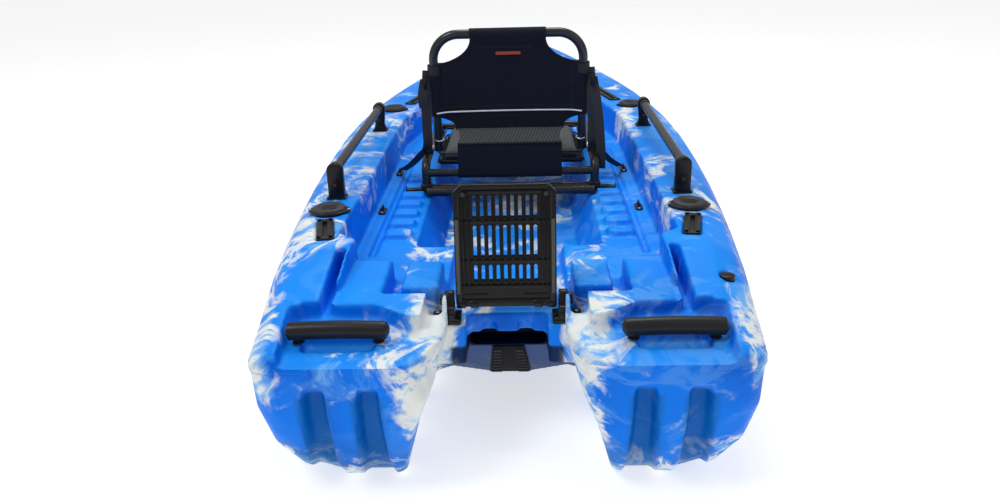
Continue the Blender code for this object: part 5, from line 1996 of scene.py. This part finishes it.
@dataclass
class Apron:
    """The cloth below the back: an apron round the bar at the legs, and the mesh above it."""

    half: float = 0.128

    def build(self, shop: Shop) -> None:
        """Builds the apron and the mesh band."""
        low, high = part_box("seat_apron")
        base_low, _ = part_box("seat_base_frame")
        bar_y = base_low.y + SeatFrame.tube + SeatFrame.spacing
        bar_z = SeatFrame.aft_bar
        back = SeatBack()
        local = back.frame_matrix()
        band_edge = local @ Vector((0, 0, back.band_foot))
        profile = [(bar_y + 0.014, bar_z + 0.010)] + [
            (bar_y + 0.0128 * math.cos(a), bar_z + 0.0128 * math.sin(a))
            for a in (math.radians(20 - 20 * i) for i in range(11))]
        profile += [(bar_y - 0.0118 + 0.010 * t ** 1.3,
                     bar_z + 0.010 + (high.z - 0.004 - bar_z - 0.010) * t)
                    for t in (i / 16 for i in range(1, 17))]
        apron = self.strip(profile, lambda share: self.half, "seat_apron_cloth", 0.0016)
        shop.deliver(apron, shop.finishes.cloth, ["seat_apron"], smooth=60.0)
        top = profile[-1]
        ends = (Vector((0, top[0], top[1] - 0.002)), band_edge + Vector((0, -0.001, 0.004)))
        path = [tuple((ends[0] + (ends[1] - ends[0]) * t)[1:]) for t in (i / 14 for i in range(15))]

        def waisted(share: float) -> float:
            """Half the mesh's width, drawn in between its two seams."""
            return self.half + 0.007 * share - 0.007 * math.sin(math.pi * share)

        mesh = self.strip(path, waisted, "seat_mesh_band", 0.0009)
        shop.deliver(mesh, shop.finishes.open_mesh, body=None, smooth=60.0)
        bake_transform(mesh)
        seam = Form()
        seam.sweep([(-self.half + 2 * self.half * i / 60,
                     top[0] - 0.0024 + 0.0006 * math.sin(i * 1.9),
                     top[1] - 0.002 + 0.0008 * math.sin(i * 2.7)) for i in range(61)], 0.0022, 8)
        shop.make(seam, "apron_seam", "dark_piping")

    @staticmethod
    def run(profile: Sequence[Pair]) -> float:
        """The length of a profile."""
        return sum(math.dist(a, b) for a, b in zip(profile, profile[1:]))

    def strip(self, profile: Sequence[Pair], half: Callable[[float], float], name: str,
              thick: float) -> bpy.types.Object:
        """A sheet whose (y, z) profile runs across the seat.

        Args:
            profile: The profile's points.
            half: Half the sheet's width, by its place along the profile.
            name: The piece's name.
            thick: The cloth's thickness.

        Returns:
            The sheet, as a closed solid.
        """
        form = Form()
        columns = 72
        rows = len(profile) - 1
        made = bmesh.ops.create_grid(form.mesh, x_segments=columns, y_segments=rows,
                                     size=0.5)["verts"]
        for vert in made:
            row = round((vert.co.y + 0.5) * rows)
            y, z = profile[row]
            share = row / rows
            x = vert.co.x * 2 * half(share)
            ripple = 0.0011 * noise.noise(Vector((x * 38, z * 24, 2.0))) * math.sin(math.pi * share)
            gather = 0.0007 * math.sin(x * 260) * math.exp(-(1 - share) * 5)
            vert.co = Vector((x, y - ripple * 1.5 - gather, z))
        piece = form.publish(name)
        wall = piece.modifiers.new("wall", "SOLIDIFY")
        wall.thickness = thick
        wall.offset = 0.0
        return settled(piece)


@dataclass
class SeatStrap:
    """One side's strap: webbing from the back's upper side to the anchor on the ledge."""

    side: Side
    width: float = 0.024
    thick: float = 0.0016
    head_up: float = 0.205
    foot: Point = (0.291, 1.048, 0.2575)
    knee: float = 0.352
    hangs: Pair = (0.060, 0.225)
    splays: Pair = (0.004, 0.022)

    def ribbon(self, path: Sequence[Sequence[float]], name: str) -> bpy.types.Object:
        """A length of webbing with a UV map along it.

        Args:
            path: Its centre line.
            name: The piece's name.

        Returns:
            The ribbon.
        """
        points = [Vector(p) for p in path]
        form = Form()
        form.sweep(points, 0.0, flat=(self.width, self.thick), up=(0.35 * self.side.sign, 1.0, 0.0))
        piece = form.publish(name)
        run = [0.0]
        for a, b in zip(points, points[1:]):
            run.append(run[-1] + (b - a).length)
        layer = piece.data.uv_layers.new(name="strap")
        for loop in piece.data.loops:
            co = piece.data.vertices[loop.vertex_index].co
            near = min(range(len(points)), key=lambda i: (points[i] - co).length_squared)
            layer.data[loop.index].uv = (0.5, run[near])
        return piece

    def build(self, shop: Shop) -> None:
        """Builds the strap, its buckle and its loose tail."""
        s, label = self.side.sign, self.side.label
        node = "seat_strap_" + label
        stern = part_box("hull")[0].y
        back = SeatBack()
        local = back.frame_matrix()
        head = local @ Vector((s * (back.half + back.tube + 0.0052), -0.004, self.head_up))
        foot = Vector((s * self.foot[0], stern + self.foot[1], self.foot[2]))
        drop = head.z - self.knee
        middle = [Vector((head.x + s * 0.006, head.y - 0.006, head.z - drop * 0.35)),
                  Vector((head.x + s * 0.008, head.y - 0.004, head.z - drop * 0.72)),
                  Vector((head.x + s * 0.010, head.y + 0.002, head.z - drop)),
                  Vector((head.x + s * 0.030, head.y * 0.6 + foot.y * 0.4, 0.322)),
                  Vector((foot.x - s * 0.030, head.y * 0.2 + foot.y * 0.8, 0.282))]
        path = flowing([head, *middle, foot], 8)
        strap = self.ribbon(path, "strap_web_" + label)
        shop.deliver(strap, shop.finishes.webbing, [node], None, 50.0)
        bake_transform(strap)
        collar = [local @ Vector((s * back.half + (back.tube + 0.0042) * math.cos(a),
                                  (back.tube + 0.0042) * math.sin(a), 0.205))
                  for a in (2 * math.pi * i / 28 for i in range(29))]
        wrap = Form()
        wrap.sweep(collar, 0.0, flat=(0.0018, self.width), up=(0, 0, 1), ring=True)
        piece = wrap.publish("strap_collar_" + label)
        shop.deliver(piece, shop.finishes.dark_piping, body=Body.BACK)
        buckle = Form()
        at_buckle = local @ Vector((s * (back.half + back.tube + 0.009), -0.007, 0.178))
        tilt = placed(at_buckle, (back.lean, 0, s * 4))
        for z in (-0.013, 0.0, 0.013):
            buckle.box((-0.0032, -0.0150, z - 0.0022), (0.0032, 0.0150, z + 0.0022), 0.0013, 2,
                       tilt)
        for y in (-0.0150, 0.0150):
            buckle.box((-0.0036, y - 0.0020, -0.0155), (0.0036, y + 0.0020, 0.0155), 0.0014, 2,
                       tilt)
        shop.make(buckle, "strap_buckle_" + label, "gloss", body=Body.BACK)
        reach, splay = self.hangs[s > 0], self.splays[s > 0]
        tail = flowing([at_buckle + Vector((s * 0.003, -0.004, 0.004)),
                        at_buckle + Vector((s * (0.006 + splay * 0.4), -0.014, -0.30 * reach)),
                        at_buckle + Vector((s * (0.006 + splay * 0.8), -0.017, -0.68 * reach)),
                        at_buckle + Vector((s * (0.004 + splay), -0.013, -reach))], 8)
        loose = self.ribbon(tail, "strap_tail_" + label)
        shop.deliver(loose, shop.finishes.webbing, body=Body.BACK, smooth=50.0)


# The surroundings.


@dataclass
class Studio:
    """The camera, the soft lights and the pale floor."""

    position: Point = (0.0326, -2.705, 0.890)
    pitch: float = 22.0
    yaw: float = -1.827
    roll: float = -1.590
    lens: float = 29.88
    aim: Point = (0.0, -0.6, 0.3)
    lamps: tuple[tuple[str, Point, float, float], ...] = (
        ("key", (-2.0, -2.2, 3.6), 1.3, 52.0), ("fill", (2.8, -2.2, 2.6), 2.0, 14.0),
        ("top", (0.2, 0.6, 3.8), 1.8, 62.0))
    sky: Colour = (0.97, 0.98, 1.0)
    sky_strength: float = 0.46
    floor_reach: float = 14.0

    def camera(self) -> None:
        """Places the camera."""
        data = bpy.data.cameras.new("camera")
        data.lens = self.lens
        data.sensor_width = 36.0
        camera = bpy.data.objects.new("camera", data)
        pitch, yaw, roll = (math.radians(a) for a in (self.pitch, self.yaw, self.roll))
        ahead = Vector((math.sin(yaw) * math.cos(pitch), math.cos(yaw) * math.cos(pitch),
                        -math.sin(pitch)))
        right = Vector((math.cos(yaw), -math.sin(yaw), 0))
        up = right.cross(ahead)
        turned_right = right * math.cos(roll) + up * math.sin(roll)
        turned_up = up * math.cos(roll) - right * math.sin(roll)
        basis = Matrix((turned_right, turned_up, -ahead)).transposed().to_4x4()
        camera.matrix_world = Matrix.Translation(self.position) @ basis
        bpy.context.scene.collection.objects.link(camera)
        bpy.context.scene.camera = camera

    def lamp(self, name: str, place: Point, size: float, power: float) -> None:
        """A square soft light aimed at the kayak.

        Args:
            name: Its name.
            place: Where it hangs.
            size: Its width.
            power: Its power in watts.
        """
        data = bpy.data.lights.new(name, "AREA")
        data.shape = "SQUARE"
        data.size = size
        data.energy = power
        lamp = bpy.data.objects.new(name, data)
        lamp.location = place
        aim = Vector(self.aim) - Vector(place)
        lamp.rotation_euler = aim.to_track_quat("-Z", "Y").to_euler()
        bpy.context.scene.collection.objects.link(lamp)

    def build(self, shop: Shop) -> None:
        """Builds the whole studio."""
        self.camera()
        for lamp in self.lamps:
            self.lamp(*lamp)
        world = bpy.data.worlds.new("studio")
        world.use_nodes = True
        background = world.node_tree.nodes["Background"].inputs
        background["Color"].default_value = (*self.sky, 1.0)
        background["Strength"].default_value = self.sky_strength
        bpy.context.scene.world = world
        form = Form()
        bmesh.ops.create_grid(form.mesh, x_segments=1, y_segments=1, size=self.floor_reach,
                              matrix=Matrix.Translation((0, 4.0, -0.0005)))
        floor = form.publish("floor")
        floor.data.materials.append(Ground("floor_pale", "fittings").build())
        bpy.context.scene.view_settings.view_transform = "Standard"
        bpy.context.scene.view_settings.look = "None"


def corners(bounds: Sequence[Sequence[float]]) -> list[list[float]]:
    """A box's two corners as plain lists."""
    return [[float(part) for part in corner] for corner in bounds]


def main() -> None:
    """Builds every sub-assembly in order."""
    logging.basicConfig(level=logging.INFO, format="%(name)s: %(message)s")
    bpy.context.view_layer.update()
    shop = Shop()
    Studio().build(shop)
    assemblies = [Hull()]
    assemblies += [CarryHandle(node)
                   for node in ("stern_handle_left", "stern_handle_right", "bow_handle")]
    for side in Side:
        assemblies += [GrabRail(side), RodHolder(side, "aft"), RodHolder(side, "fore")]
        assemblies += [GearTrack(side, "aft", -side.sign * 12.0, 0.115),
                       GearTrack(side, "fore", side.sign * 12.4, 0.220)]
        assemblies += [PadEye(f"pad_eye_{place}_{side.label}") for place in ("aft", "fore")]
        assemblies += [FootBrace(side), SeatStrap(side)]
    assemblies += [DrainPlug(), BowHatch(), SkidPlate(), SternGate(), SeatFrame(), SeatBack(),
                   SeatCushion(), Apron()]
    for assembly in assemblies:
        assembly.build(shop)
    log.info("%d pieces", len(shop.pieces))


if __name__ == "__main__":
    main()
